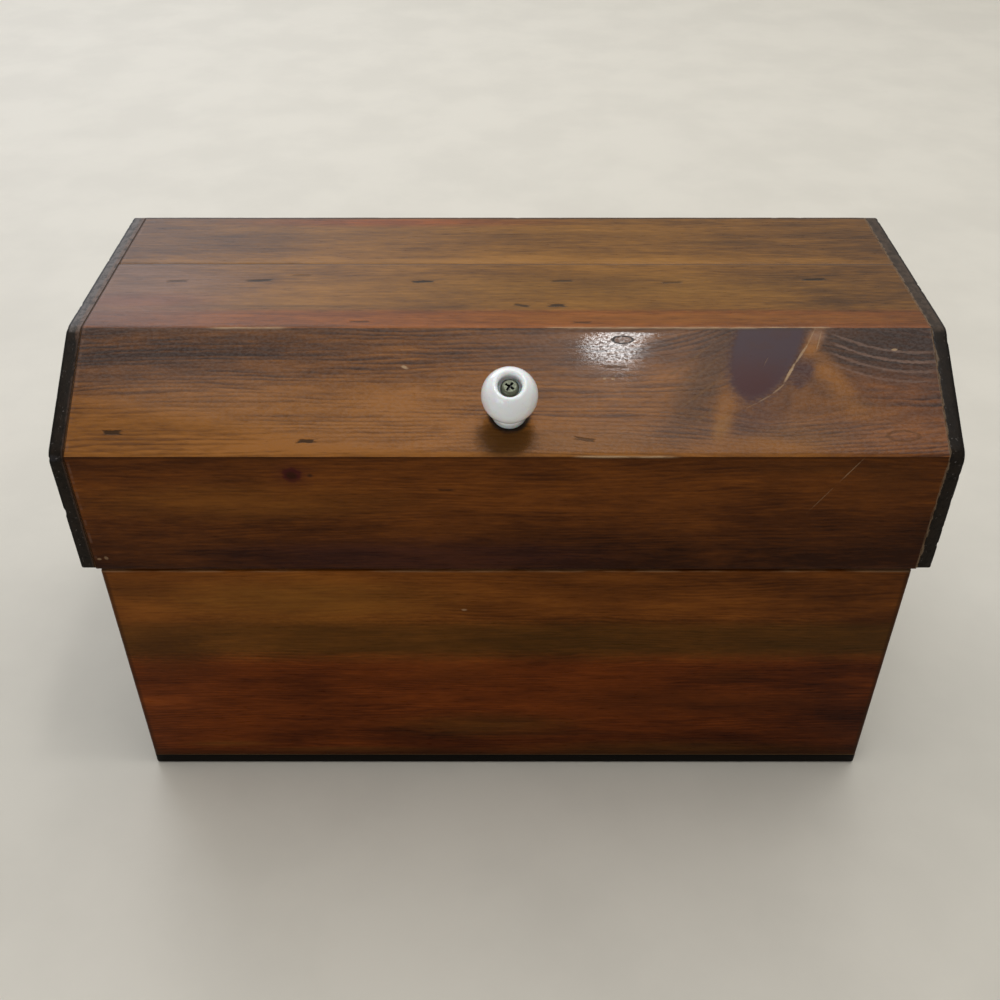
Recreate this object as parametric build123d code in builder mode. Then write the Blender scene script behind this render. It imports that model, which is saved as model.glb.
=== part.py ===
from build123d import *
import math
import os

# Keepsake chest: a pine box with a faceted, hinged lid and a porcelain knob. All sizes are millimetres.
# +X is to the right of someone who faces the front, +Y is to the back and +Z is up.
# The origin is the middle of the footprint, on the surface that the chest stands on.

# Lid
lid_length = 415.0
lid_wall_height = 67.7
slope_run = 56.0
slope_rise = 34.5
top_back_board_width = 57.0
top_front_board_width = 66.6
lid_stock = 8.0
lid_end_stock = 7.0
lid_end_corner_radius = 7.0
lid_end_foot_radius = 1.5
lid_end_ease = 0.8
fold_ease = 0.4
seam_ease = 0.25

# Body
body_height = 146.6
body_stock = 8.0
bottom_stock = 7.5
rabbet_lip = 4.0
corner_ease = 1.5
rim_ease = 0.5
foot_ease = 2.0

# Running room between lid and body
lid_gap = 1.6
end_overhang_gap = 1.7

# Knob, a through bolt with its head in the knob's front, and its washer and nut inside the lid
knob_up_slope = 21.9
knob_off_centre = 1.2
knob_radius = 12.7
knob_bulb_height = 18.7
knob_foot_radius = 8.2
knob_foot_height = 3.0
knob_neck_radius = 7.0
knob_neck_height = 4.6
knob_recess_radius = 5.6
knob_recess_floor = 24.5
knob_rim_round = 1.2
knob_neck_round = 1.2
knob_foot_round = 0.9
bolt_radius = 2.08
bolt_length = 38.1
bolt_head_radius = 4.2
bolt_head_height = 2.9
bolt_head_round = 1.7
bolt_hole_gap = 0.2
cross_length = 4.6
cross_width = 1.15
cross_depth = 1.6
cross_taper = 12.0
cross_turn = 55.0
washer_radius = 4.75
washer_stock = 1.0
nut_flats = 8.7
nut_stock = 3.2
nut_thread_gap = 0.03

# Butt hinges on the outside of the back
hinge_length = 38.0
hinge_inset = 52.0
leaf_width = 13.0
leaf_stock = 1.2
leaf_corner_radius = 1.5
knuckle_count = 5
knuckle_gap = 0.3
knuckle_radius = 2.2
knuckle_wood_gap = 0.4
knuckle_leaf_gap = 0.4
pin_radius = 1.2
pin_head_radius = 1.7
pin_head_stock = 0.7
pin_seat_gap = 0.02
pin_running_gap = 0.05

# Hinge screws
screw_radius = 1.1
screw_head_radius = 2.3
screw_length = 8.4
screw_tip = 2.0
screw_gap = 0.02
screw_end_inset = 8.0
screw_from_axis = 8.2
slot_width = 0.6
slot_depth = 0.6
slot_turn_step = 37.0

# Brads
brad_radius = 0.6
brad_head_radius = 1.0
brad_head_stock = 0.5
brad_length = 20.0
brad_tip = 1.6
brad_set = 0.3
brad_gap = 0.02
lid_brad_inset = 14.0
corner_brad_inset = 18.0
corner_brad_rows = 3
bottom_brad_end_inset = 40.0
bottom_brad_columns = 4
bottom_brad_side_inset = 60.0

# Sizes that follow from those above
depth = 2 * slope_run + top_back_board_width + top_front_board_width
front_y = -depth / 2
back_y = depth / 2
lid_base_z = body_height + lid_gap
fold_z = lid_base_z + lid_wall_height
top_z = fold_z + slope_rise
board_half_length = lid_length / 2 - lid_end_stock
body_half_length = board_half_length - end_overhang_gap
wall_height = body_height - bottom_stock
slope_angle = math.atan2(slope_rise, slope_run)
seam_y = back_y - slope_run - top_back_board_width
hinge_axis_y = back_y + knuckle_wood_gap + knuckle_radius
hinge_axis_z = body_height + lid_gap / 2
hinge_x = body_half_length - hinge_inset - hinge_length / 2
same_place = 0.01

os.makedirs("parts", exist_ok=True)


def save(piece, name):
    """Labels a finished piece and writes it under its own name."""
    piece.part.label = name
    export_step(piece.part, f"parts/{name}.step")


def turned(outline):
    """A solid turned about +Z from its half outline of (radius, height) points."""
    with BuildPart() as piece:
        with BuildSketch(Plane.XZ):
            with BuildLine():
                Polyline(*outline, close=True)
            make_face()
        revolve(axis=Axis.Z)
    return piece.part


def copies(solid, places):
    """The same fastener at each of its places."""
    with BuildPart() as group:
        with Locations(*places):
            add(solid)
    return group


# Brads. Each place is a point of the wood's surface, with +Z out of the wood.
def brad_outline(gap, top):
    radius = brad_radius + gap
    head_radius = brad_head_radius + gap
    return [
        (0, top),
        (head_radius, top),
        (head_radius, -brad_set - brad_head_stock),
        (radius, -brad_set - brad_head_stock),
        (radius, brad_tip - brad_length),
        (0, -brad_length),
    ]


brad = turned(brad_outline(0, -brad_set))
brad_hole = turned(brad_outline(brad_gap, 0))


def into_side(side, x, y, z):
    """A place on a face that looks to the left, side -1, or to the right, side 1."""
    return Plane(origin=(side * x, y, z), x_dir=(0, 1, 0), z_dir=(side, 0, 0)).location


# Lid profile: the outer corners from the foot of the front, over the top, to the foot of the back
outer = [
    Vector(front_y, lid_base_z),
    Vector(front_y, fold_z),
    Vector(front_y + slope_run, top_z),
    Vector(back_y - slope_run, top_z),
    Vector(back_y, fold_z),
    Vector(back_y, lid_base_z),
]


def inward(start, end):
    """The unit normal of one face of the profile, towards the inside of the lid."""
    along = (end - start).normalized()
    return Vector(along.Y, -along.X)


def mitred(index):
    """The inner corner of the boards that meet at one fold of the profile."""
    before = inward(outer[index - 1], outer[index])
    after = inward(outer[index], outer[index + 1])
    return outer[index] + (before + after) * (lid_stock / (1 + before.dot(after)))


front_foot = outer[0] + Vector(lid_stock, 0)
back_foot = outer[5] - Vector(lid_stock, 0)
seam_top = Vector(seam_y, top_z)
seam_under = Vector(seam_y, top_z - lid_stock)

# Each lid board: the outer line that it shows, then its inner line
lid_boards = {
    "lid_front_board": (outer[0], outer[1], mitred(1), front_foot),
    "lid_front_slope_board": (outer[1], outer[2], mitred(2), mitred(1)),
    "lid_top_front_board": (outer[2], seam_top, seam_under, mitred(2)),
    "lid_top_back_board": (seam_top, outer[3], mitred(3), seam_under),
    "lid_back_slope_board": (outer[3], outer[4], mitred(4), mitred(3)),
    "lid_back_board": (outer[4], outer[5], back_foot, mitred(4)),
}


def board_brad_points(corners):
    """The two points of a board's end grain where brads enter, halfway through its thickness."""
    start = (corners[0] + corners[3]) * 0.5
    end = (corners[1] + corners[2]) * 0.5
    along = (end - start).normalized() * lid_brad_inset
    return [start + along, end - along]


lid_brad_places = [
    into_side(side, lid_length / 2, point.X, point.Y)
    for corners in lid_boards.values()
    for point in board_brad_points(corners)
    for side in (-1, 1)
]
lid_end_brads = copies(brad, lid_brad_places)
lid_brad_holes = copies(brad_hole, lid_brad_places)
save(lid_end_brads, "lid_end_brads")

# Knob plane: on the front slope, with +Z along the knob's axis and +X to the right
knob_y = front_y + knob_up_slope * math.cos(slope_angle)
knob_z = fold_z + knob_up_slope * math.sin(slope_angle)
slope_normal = Vector(0, -math.sin(slope_angle), math.cos(slope_angle))
knob_plane = Plane(origin=(knob_off_centre, knob_y, knob_z), x_dir=(1, 0, 0), z_dir=slope_normal)
knob_profile_plane = Plane(knob_plane.origin, x_dir=knob_plane.x_dir, z_dir=-knob_plane.y_dir)
knob_axis = Axis(knob_plane.origin, knob_plane.z_dir)

# Hinge screws. Each place is a point of a leaf's outer face, with +Z towards the back.
screw_head_depth = screw_head_radius - screw_radius


def screw_outline(gap):
    return [
        (0, 0),
        (screw_head_radius + gap, 0),
        (screw_radius + gap, -screw_head_depth),
        (screw_radius + gap, screw_tip - screw_length),
        (0, -screw_length),
    ]


screw_hole = turned(screw_outline(screw_gap))
with BuildPart() as hinge_screw:
    add(turned(screw_outline(0)))
    with BuildSketch(Plane.XY):
        Rectangle(2 * screw_head_radius + 1, slot_width)
    extrude(amount=-slot_depth, mode=Mode.SUBTRACT)


def screw_places(up, turns):
    """The screws of both hinges, in the leaves that reach up, 1, or down, -1, from the hinge line."""
    places = []
    for hinge_side in (-1, 1):
        for screw_side in (-1, 1):
            x = hinge_side * hinge_x + screw_side * (hinge_length / 2 - screw_end_inset)
            z = hinge_axis_z + up * screw_from_axis
            face = Plane(origin=(x, back_y + leaf_stock, z), x_dir=(1, 0, 0), z_dir=(0, 1, 0))
            turn = slot_turn_step * len(places) * turns
            places.append(face.location * Location((0, 0, 0), (0, 0, turn)))
    return places


body_screws = copies(hinge_screw.part, screw_places(-1, 1))
body_screw_holes = copies(screw_hole, screw_places(-1, 0))
save(body_screws, "hinge_body_screws")
lid_screws = copies(hinge_screw.part, screw_places(1, -1))
lid_screw_holes = copies(screw_hole, screw_places(1, 0))
save(lid_screws, "hinge_lid_screws")


# Lid boards
def edges_along_x(piece, points):
    """The edges of a board that run along it through the given points of the profile."""
    return piece.edges().filter_by(Axis.X).filter_by(
        lambda edge: any(
            abs(edge.center().Y - point.X) < same_place and abs(edge.center().Z - point.Y) < same_place
            for point in points
        )
    )


for name, corners in lid_boards.items():
    with BuildPart() as lid_board:
        with BuildSketch(Plane.YZ.offset(-board_half_length)):
            with BuildLine():
                Polyline(*[(corner.X, corner.Y) for corner in corners], close=True)
            make_face()
        extrude(amount=2 * board_half_length)
        fillet(edges_along_x(lid_board, [p for p in corners[:2] if p is not seam_top]), fold_ease)
        if seam_top in corners:
            fillet(edges_along_x(lid_board, [seam_top]), seam_ease)
        add(lid_brad_holes.part, mode=Mode.SUBTRACT)
        if name == "lid_front_slope_board":
            with Locations(knob_plane):
                Hole(bolt_radius + bolt_hole_gap, depth=lid_stock)
        if name == "lid_back_board":
            add(lid_screw_holes.part, mode=Mode.SUBTRACT)
    save(lid_board, name)

# Lid ends, which cover the boards' end grain
for name, side in (("lid_left_end", -1), ("lid_right_end", 1)):
    with BuildPart() as lid_end:
        with BuildSketch(Plane.YZ.offset(side * board_half_length)) as end_outline:
            with BuildLine():
                Polyline(*[(corner.X, corner.Y) for corner in outer], close=True)
            make_face()
            folds = end_outline.vertices().group_by(Axis.Y)[1:]
            fillet([corner for level in folds for corner in level], lid_end_corner_radius)
            fillet(end_outline.vertices().group_by(Axis.Y)[0], lid_end_foot_radius)
        extrude(amount=side * lid_end_stock)
        fillet(lid_end.faces().sort_by(Axis.X)[-1 if side > 0 else 0].edges(), lid_end_ease)
        add(lid_brad_holes.part, mode=Mode.SUBTRACT)
    save(lid_end, name)

# Knob
bulb_foot = knob_bulb_height - math.sqrt(knob_radius**2 - knob_neck_radius**2)
bulb_rim = knob_bulb_height + math.sqrt(knob_radius**2 - knob_recess_radius**2)
bolt_hole_radius = bolt_radius + bolt_hole_gap
with BuildPart() as knob:
    with BuildSketch(knob_profile_plane) as knob_outline:
        with BuildLine():
            stem = Polyline(
                (bolt_hole_radius, 0),
                (knob_foot_radius, 0),
                (knob_foot_radius, knob_foot_height),
                (knob_neck_radius, knob_neck_height),
                (knob_neck_radius, bulb_foot),
            )
            bulb = ThreePointArc(stem @ 1, (knob_radius, knob_bulb_height), (knob_recess_radius, bulb_rim))
            Polyline(
                bulb @ 1,
                (knob_recess_radius, knob_recess_floor),
                (bolt_hole_radius, knob_recess_floor),
                stem @ 0,
            )
        make_face()
        corners_up = knob_outline.vertices().sort_by(Axis.Y)
        fillet(corners_up[-1], knob_rim_round)
        fillet(corners_up.filter_by(lambda v: abs(v.Y - bulb_foot) < same_place), knob_neck_round)
        fillet(corners_up.filter_by(lambda v: abs(v.Y - knob_foot_height) < same_place), knob_foot_round)
    revolve(axis=knob_axis)
save(knob, "knob")

# Knob bolt, with a pan head that seats on the floor of the knob's recess
with BuildPart() as knob_bolt:
    with BuildSketch(knob_plane.offset(knob_recess_floor)):
        Circle(bolt_head_radius)
    extrude(amount=bolt_head_height)
    fillet(knob_bolt.edges().sort_by(knob_axis)[-1], bolt_head_round)
    with BuildSketch(knob_plane.offset(knob_recess_floor)):
        Circle(bolt_radius)
    extrude(amount=-bolt_length)
    with BuildSketch(knob_plane.offset(knob_recess_floor + bolt_head_height)):
        with Locations(Location((0, 0, 0), (0, 0, cross_turn))):
            Rectangle(cross_length, cross_width)
            Rectangle(cross_width, cross_length)
    extrude(amount=-cross_depth, taper=cross_taper, mode=Mode.SUBTRACT)
save(knob_bolt, "knob_bolt")

# Washer and nut, inside the lid
with BuildPart() as knob_washer:
    with BuildSketch(knob_plane.offset(-lid_stock)):
        Circle(washer_radius)
        Circle(bolt_hole_radius, mode=Mode.SUBTRACT)
    extrude(amount=-washer_stock)
save(knob_washer, "knob_washer")

with BuildPart() as knob_nut:
    with BuildSketch(knob_plane.offset(-lid_stock - washer_stock)):
        RegularPolygon(nut_flats / 2, side_count=6, major_radius=False)
        Circle(bolt_radius + nut_thread_gap, mode=Mode.SUBTRACT)
    extrude(amount=-nut_stock)
save(knob_nut, "knob_nut")

# Body brads: through the side boards into the front and back boards, and up through the bottom
shoulder_y = back_y - (rabbet_lip + body_stock) / 2
brad_low = bottom_stock + corner_brad_inset
brad_pitch = (body_height - corner_brad_inset - brad_low) / (corner_brad_rows - 1)
corner_brad_places = [
    into_side(side, body_half_length, y, brad_low + row * brad_pitch)
    for side in (-1, 1)
    for y in (-shoulder_y, shoulder_y)
    for row in range(corner_brad_rows)
]
corner_brads = copies(brad, corner_brad_places)
corner_brad_holes = copies(brad_hole, corner_brad_places)
save(corner_brads, "corner_brads")

underside = Plane(origin=(0, 0, 0), x_dir=(1, 0, 0), z_dir=(0, 0, -1))
long_pitch = 2 * (body_half_length - bottom_brad_end_inset) / (bottom_brad_columns - 1)
with Locations(underside):
    with GridLocations(long_pitch, depth - body_stock, bottom_brad_columns, 2) as long_rows:
        long_places = long_rows.locations
    side_rows_x = 2 * body_half_length - body_stock
    with GridLocations(side_rows_x, depth - 2 * bottom_brad_side_inset, 2, 2) as short_rows:
        short_places = short_rows.locations
bottom_brad_places = long_places + short_places
bottom_brads = copies(brad, bottom_brad_places)
bottom_brad_holes = copies(brad_hole, bottom_brad_places)
save(bottom_brads, "bottom_brads")

# Body front and back boards, rabbeted at the ends to house the side boards
for name, side in (("body_front_board", -1), ("body_back_board", 1)):
    with BuildPart() as wall:
        with BuildSketch(Plane.XY.offset(bottom_stock)):
            with Locations((0, side * (back_y - body_stock / 2))):
                Rectangle(2 * body_half_length, body_stock)
            rabbet_x = body_half_length - body_stock / 2
            rabbet_y = side * shoulder_y
            with Locations((-rabbet_x, rabbet_y), (rabbet_x, rabbet_y)):
                Rectangle(body_stock, body_stock - rabbet_lip, mode=Mode.SUBTRACT)
        extrude(amount=wall_height)
        outer_face = wall.faces().sort_by(Axis.Y)[-1 if side > 0 else 0]
        fillet(outer_face.edges().filter_by(Axis.Z), corner_ease)
        rim_edges = wall.edges().filter_by(Axis.X).group_by(Axis.Z)[-1]
        fillet(rim_edges.sort_by(Axis.Y)[-1 if side > 0 else 0], rim_ease)
        add(corner_brad_holes.part, mode=Mode.SUBTRACT)
        add(bottom_brad_holes.part, mode=Mode.SUBTRACT)
        if side > 0:
            add(body_screw_holes.part, mode=Mode.SUBTRACT)
    save(wall, name)

# Body side boards
for name, side in (("body_left_board", -1), ("body_right_board", 1)):
    with BuildPart() as side_board:
        with BuildSketch(Plane.XY.offset(bottom_stock)):
            with Locations((side * (body_half_length - body_stock / 2), 0)):
                Rectangle(body_stock, depth - 2 * rabbet_lip)
        extrude(amount=wall_height)
        rim_edges = side_board.edges().filter_by(Axis.Y).group_by(Axis.Z)[-1]
        fillet(rim_edges.sort_by(Axis.X)[-1 if side > 0 else 0], rim_ease)
        add(corner_brad_holes.part, mode=Mode.SUBTRACT)
        add(bottom_brad_holes.part, mode=Mode.SUBTRACT)
    save(side_board, name)

# Bottom board, flush with the walls, with its lower edges rounded
with BuildPart() as bottom_board:
    with BuildSketch(Plane.XY):
        RectangleRounded(2 * body_half_length, depth, corner_ease)
    extrude(amount=bottom_stock)
    fillet(bottom_board.faces().sort_by(Axis.Z)[0].edges(), foot_ease)
    add(bottom_brad_holes.part, mode=Mode.SUBTRACT)
save(bottom_board, "bottom_board")

# Hinges: the body's leaf holds the first, third and last knuckle, and the lid's leaf the ones between
knuckle_length = (hinge_length - (knuckle_count - 1) * knuckle_gap) / knuckle_count
knuckle_pitch = knuckle_length + knuckle_gap
leaf_reach = knuckle_radius + knuckle_leaf_gap
for hinge, centre_x in (("left_hinge", -hinge_x), ("right_hinge", hinge_x)):
    for leaf, up, first, bore_gap in (("body_leaf", -1, 0, pin_seat_gap), ("lid_leaf", 1, 1, pin_running_gap)):
        knuckle_places = [
            (index - (knuckle_count - 1) / 2) * knuckle_pitch + centre_x
            for index in range(first, knuckle_count, 2)
        ]
        with BuildPart() as hinge_leaf:
            with BuildSketch(Plane.XZ.offset(-back_y)) as leaf_outline:
                with Locations((centre_x, hinge_axis_z + up * (leaf_reach + leaf_width) / 2)):
                    Rectangle(hinge_length, leaf_width - leaf_reach)
                far_corners = leaf_outline.vertices().group_by(Axis.Y)[-1 if up > 0 else 0]
                fillet(far_corners, leaf_corner_radius)
                for x in knuckle_places:
                    with Locations((x, hinge_axis_z + up * leaf_reach / 2)):
                        Rectangle(knuckle_length, leaf_reach)
            extrude(amount=-leaf_stock)
            for x in knuckle_places:
                with BuildSketch(Plane.YZ.offset(x - knuckle_length / 2)):
                    with Locations((hinge_axis_y, hinge_axis_z)):
                        Circle(knuckle_radius)
                extrude(amount=knuckle_length)
            with BuildSketch(Plane.YZ.offset(centre_x - hinge_length / 2)):
                with Locations((hinge_axis_y, hinge_axis_z)):
                    Circle(pin_radius + bore_gap)
            extrude(amount=hinge_length, mode=Mode.SUBTRACT)
            add((body_screw_holes if up < 0 else lid_screw_holes).part, mode=Mode.SUBTRACT)
        save(hinge_leaf, f"{hinge}_{leaf}")

    with BuildPart() as hinge_pin:
        with BuildSketch(Plane.YZ.offset(centre_x - hinge_length / 2)):
            with Locations((hinge_axis_y, hinge_axis_z)):
                Circle(pin_radius)
        extrude(amount=hinge_length)
        for end in (-1, 1):
            with BuildSketch(Plane.YZ.offset(centre_x + end * hinge_length / 2)):
                with Locations((hinge_axis_y, hinge_axis_z)):
                    Circle(pin_head_radius)
            extrude(amount=end * pin_head_stock)
    save(hinge_pin, f"{hinge}_pin")
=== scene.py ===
# Looks of a keepsake chest: worn and stained pine boards, black end boards, a porcelain knob and aged brass
# hinges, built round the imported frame. Mesh sizes are metres. Patterns on wood are written in millimetres.
import math
from collections import namedtuple

import bmesh
import bpy
from bpy.props import FloatProperty, FloatVectorProperty, IntProperty, PointerProperty
from mathutils import Matrix, Vector, noise
from mathutils.geometry import intersect_plane_plane


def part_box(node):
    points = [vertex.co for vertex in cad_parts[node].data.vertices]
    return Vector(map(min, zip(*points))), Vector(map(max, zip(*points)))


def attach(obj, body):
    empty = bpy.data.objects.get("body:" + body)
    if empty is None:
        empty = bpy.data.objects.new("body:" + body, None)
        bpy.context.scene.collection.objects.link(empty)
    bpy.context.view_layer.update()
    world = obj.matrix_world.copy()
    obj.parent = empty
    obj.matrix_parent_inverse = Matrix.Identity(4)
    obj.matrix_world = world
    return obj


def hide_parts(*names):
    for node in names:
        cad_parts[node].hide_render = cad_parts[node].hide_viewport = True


bl_info = {
    "name": "Keepsake chest",
    "version": (1, 0, 0),
    "blender": (4, 5, 0),
    "location": "View3D > Sidebar > Chest",
    "description": "Builds and finishes the boards, knob, hinges and stage of a pine keepsake chest",
    "category": "Object",
}

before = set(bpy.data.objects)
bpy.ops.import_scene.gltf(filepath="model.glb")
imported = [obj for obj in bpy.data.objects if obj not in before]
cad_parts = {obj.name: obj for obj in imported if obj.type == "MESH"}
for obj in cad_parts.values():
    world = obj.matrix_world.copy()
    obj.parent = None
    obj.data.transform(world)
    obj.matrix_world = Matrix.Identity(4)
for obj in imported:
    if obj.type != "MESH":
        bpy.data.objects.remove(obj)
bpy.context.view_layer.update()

MM = 0.001
# Places nearer than this are one place
SAME = 0.000001
# Places of two pieces nearer than this lie on one line or in one plane
NEAR = 0.00002
# A face looks to a side when the cosine of the angle between them is more than this
LOOKS_TO = 0.8
# Edges run one way when the sine of the angle between them is at most this
ONE_WAY = 0.001
# Edges that turn by more degrees than this stay sharp
SHARP_ABOVE = 38.0
X = Vector((1, 0, 0))
Y = Vector((0, 1, 0))
Z = Vector((0, 0, 1))
LID = "lid"
CHEST = "chest"

# Each lid board and the side to which its outer face looks, from the front's foot to the back's
LID_BOARDS = {
    "lid_front_board": -Y,
    "lid_front_slope_board": (Z - Y).normalized(),
    "lid_top_front_board": Z,
    "lid_top_back_board": Z,
    "lid_back_slope_board": (Z + Y).normalized(),
    "lid_back_board": Y,
}

# Where a board lies. Its origin is on its outer face, halfway along its upper edge, or in the middle of the
# bottom board. Half its length and its width are in millimetres.
Board = namedtuple("Board", "origin along down into half width")


def colour(name, description, default):
    """A colour that a user would change."""
    return FloatVectorProperty(
        name=name, description=description, default=default, subtype="COLOR", size=3, min=0.0, max=1.0
    )


def length(name, description, default):
    """A length in metres that a user would change."""
    return FloatProperty(
        name=name,
        description=description,
        default=default,
        min=0.0,
        precision=5,
        subtype="DISTANCE",
        unit="LENGTH",
    )


def amount(name, description, default):
    """A power in watts, a strength or a focal length that a user would change."""
    return FloatProperty(name=name, description=description, default=default, min=0.0)


class WoodSettings(bpy.types.PropertyGroup):
    """Stain, grain and wear of the boards."""

    shadow_stain: colour("Shadow stain", "Stain in the darkest grain", (0.026, 0.009, 0.0018))
    deep_stain: colour("Deep stain", "Stain in the late wood of each ring", (0.071, 0.027, 0.0039))
    brown_stain: colour("Brown stain", "Stain over most of the wood", (0.144, 0.058, 0.0080))
    golden_stain: colour("Golden stain", "Stain where it is thin", (0.235, 0.100, 0.0135))
    pale_stain: colour("Pale stain", "Stain where it is nearly rubbed off", (0.315, 0.140, 0.0250))
    red_dye: colour("Red dye", "Multiplies the stain where it is redder", (1.000, 0.500, 0.4000))
    olive_tint: colour("Olive tint", "Tint of the greener streaks", (0.077, 0.042, 0.0050))
    amber: colour("Amber", "Clear resin-soaked wood round the knots", (0.290, 0.106, 0.0110))
    plum_tint: colour("Plum tint", "Tint of the knots and of the wood round them", (0.050, 0.015, 0.0130))
    resin: colour("Resin", "Dark resin in its short pockets", (0.014, 0.008, 0.0040))
    knot: colour("Knot", "Hard violet wood of the large knot", (0.044, 0.0180, 0.0250))
    maroon: colour("Maroon", "Redder rim of the large knot", (0.058, 0.0100, 0.0080))
    # Also serves as painted sheen on the slope
    wax_and_sheen: colour("Wax", "Old wax that lies dull and pink on the stain", (0.230, 0.130, 0.0880))
    # Also serves as painted highlight along the folds
    bare_and_highlight: colour("Bare wood", "Wood in nicks and scratches", (0.440, 0.290, 0.1600))
    raw_light: colour("Inside, light", "Early wood inside, which has one thin coat", (0.420, 0.230, 0.0950))
    raw_dark: colour("Inside, dark", "Late wood inside, which has one thin coat", (0.230, 0.092, 0.0280))
    ebony: colour("Black stain", "Stain of the end boards, sides and bottom", (0.0075, 0.0058, 0.0042))
    ebony_worn: colour("Black stain, worn", "Black stain where grain shows", (0.022, 0.0145, 0.0095))
    ebony_grain: colour("Black stain, grain", "Grain that shows on the outer faces", (0.050, 0.0290, 0.0165))
    edge_black: colour("Black edge", "Stain on the bottom board's edges", (0.0030, 0.0020, 0.0012))
    scuff: colour("Scuff", "Brown scuffs on the right end board", (0.070, 0.049, 0.0350))
    # Also serves as painted sheen on the left end board's upper flat
    dust_and_sheen: colour("Dust", "Old scuffs and dust on the end boards' upper edges", (0.142, 0.124, 0.113))
    glue: colour("Glue line", "Old glue and filler along the end boards' joints", (0.290, 0.200, 0.1250))
    row_pitch: length("Row pitch", "Distance between the mesh rows across a board", 0.0025)
    wear_pitch: length("Wear pitch", "Distance between the mesh rows along a worn edge", 0.0017)
    fold_ease: length("Fold ease", "How far the folds' arrises are rubbed back", 0.00045)
    joint_ease: length("Joint ease", "Ease of the boards' ends at the end boards", 0.00018)
    end_ease: length("End ease", "Round of the end boards' outer arris", 0.0008)
    end_round: length("End board round", "Radius of the end boards' corners at the folds", 0.0070)
    foot_round: length("End board foot round", "Radius of the end boards' lower corners", 0.0015)
    corner_round: length("Corner round", "Round of the body's upright corners", 0.0015)
    rim_ease: length("Rim ease", "Ease of the body's rim", 0.0005)
    foot_ease: length("Foot ease", "Ease of the bottom board's lower edges", 0.0020)
    hollow: length("Hollow", "How far the planed faces dip", 0.00009)
    brad_hole_radius: length("Brad hole radius", "Radius of the brads' holes", 0.00102)
    brad_hole_depth: length("Brad hole depth", "Depth of the brads' holes", 0.00085)


class KnobSettings(bpy.types.PropertyGroup):
    """Shape and glaze of the porcelain knob."""

    glaze: colour("Glaze", "Colour of the porcelain", (0.925, 0.980, 0.988))
    # Dirt in the glaze's crackle, and painted shade in the recess and round the foot
    grime_and_shade: colour("Grime", "Dirt in the recess and round the foot", (0.200, 0.205, 0.165))
    bulb_radius: length("Bulb radius", "Largest radius of the knob", 0.0127)
    bulb_height: length("Bulb height", "Height of the bulb's middle above the wood", 0.0187)
    foot_radius: length("Foot radius", "Radius of the knob's foot", 0.0082)
    foot_height: length("Foot height", "Height of the knob's foot", 0.0044)
    neck_radius: length("Neck radius", "Radius of the groove above the foot", 0.0070)
    neck_height: length("Neck height", "Height of the groove above the wood", 0.0060)
    recess_radius: length("Recess radius", "Radius of the screw's recess", 0.0053)
    recess_floor: length("Recess floor", "Height of the recess's floor above the wood", 0.0245)
    bore_radius: length("Bore radius", "Radius of the bolt's hole", 0.00228)
    rim_round: length("Rim round", "Round of the recess's rim", 0.0016)
    steps: IntProperty(name="Steps", description="Steps of the knob's spin", default=96, min=24, max=256)


class MetalSettings(bpy.types.PropertyGroup):
    """Colours of the bolt, brads and hinges."""

    steel: colour("Steel", "Bolt, washer, nut and brads", (0.126, 0.137, 0.100))
    steel_grime: colour("Steel grime", "Dirt in the bolt's cross", (0.030, 0.030, 0.022))
    # Painted shade deep in the bolt's cross
    cross_shade: colour("Cross dirt", "Black dirt deep in the bolt's cross", (0.004, 0.004, 0.0030))
    brass: colour("Brass", "Hinges, pins and their screws where they are rubbed", (0.560, 0.380, 0.150))
    tarnish: colour("Tarnish", "Dull skin of the brass", (0.290, 0.180, 0.066))


class StageSettings(bpy.types.PropertyGroup):
    """Camera, floor and light."""

    camera_place: FloatVectorProperty(
        name="Camera place",
        description="Where the photograph was taken from",
        default=(-0.00303, -0.52462, 0.51244),
        subtype="TRANSLATION",
        unit="LENGTH",
        size=3,
        precision=5,
    )
    camera_pitch: FloatProperty(
        name="Camera pitch",
        description="How far the camera looks down",
        default=math.radians(38.3),
        subtype="ANGLE",
        unit="ROTATION",
    )
    focal_length: amount("Focal length", "In millimetres, on a 36 mm sensor", 40.13)
    floor: colour("Floor", "Colour of the floor", (0.711, 0.675, 0.592))
    backdrop: colour("Backdrop", "Colour behind the floor's edge", (0.740, 0.725, 0.690))
    window_tint: colour("Window tint", "Colour of the window light", (0.780, 0.840, 1.000))
    backdrop_strength: amount("Backdrop strength", "Strength of the backdrop where it is seen", 0.86)
    ambient: amount("Ambient", "Strength of the plain light all round", 0.50)
    ceiling_watts: amount("Ceiling light", "Power in watts", 33.5)
    window_watts: amount("Window light", "Power in watts", 17.0)
    fill_watts: amount("Fill light", "Power in watts", 6.0)
    lamp_watts: amount("Lamp", "Power in watts of the small lamp overhead", 1.80)


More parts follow.
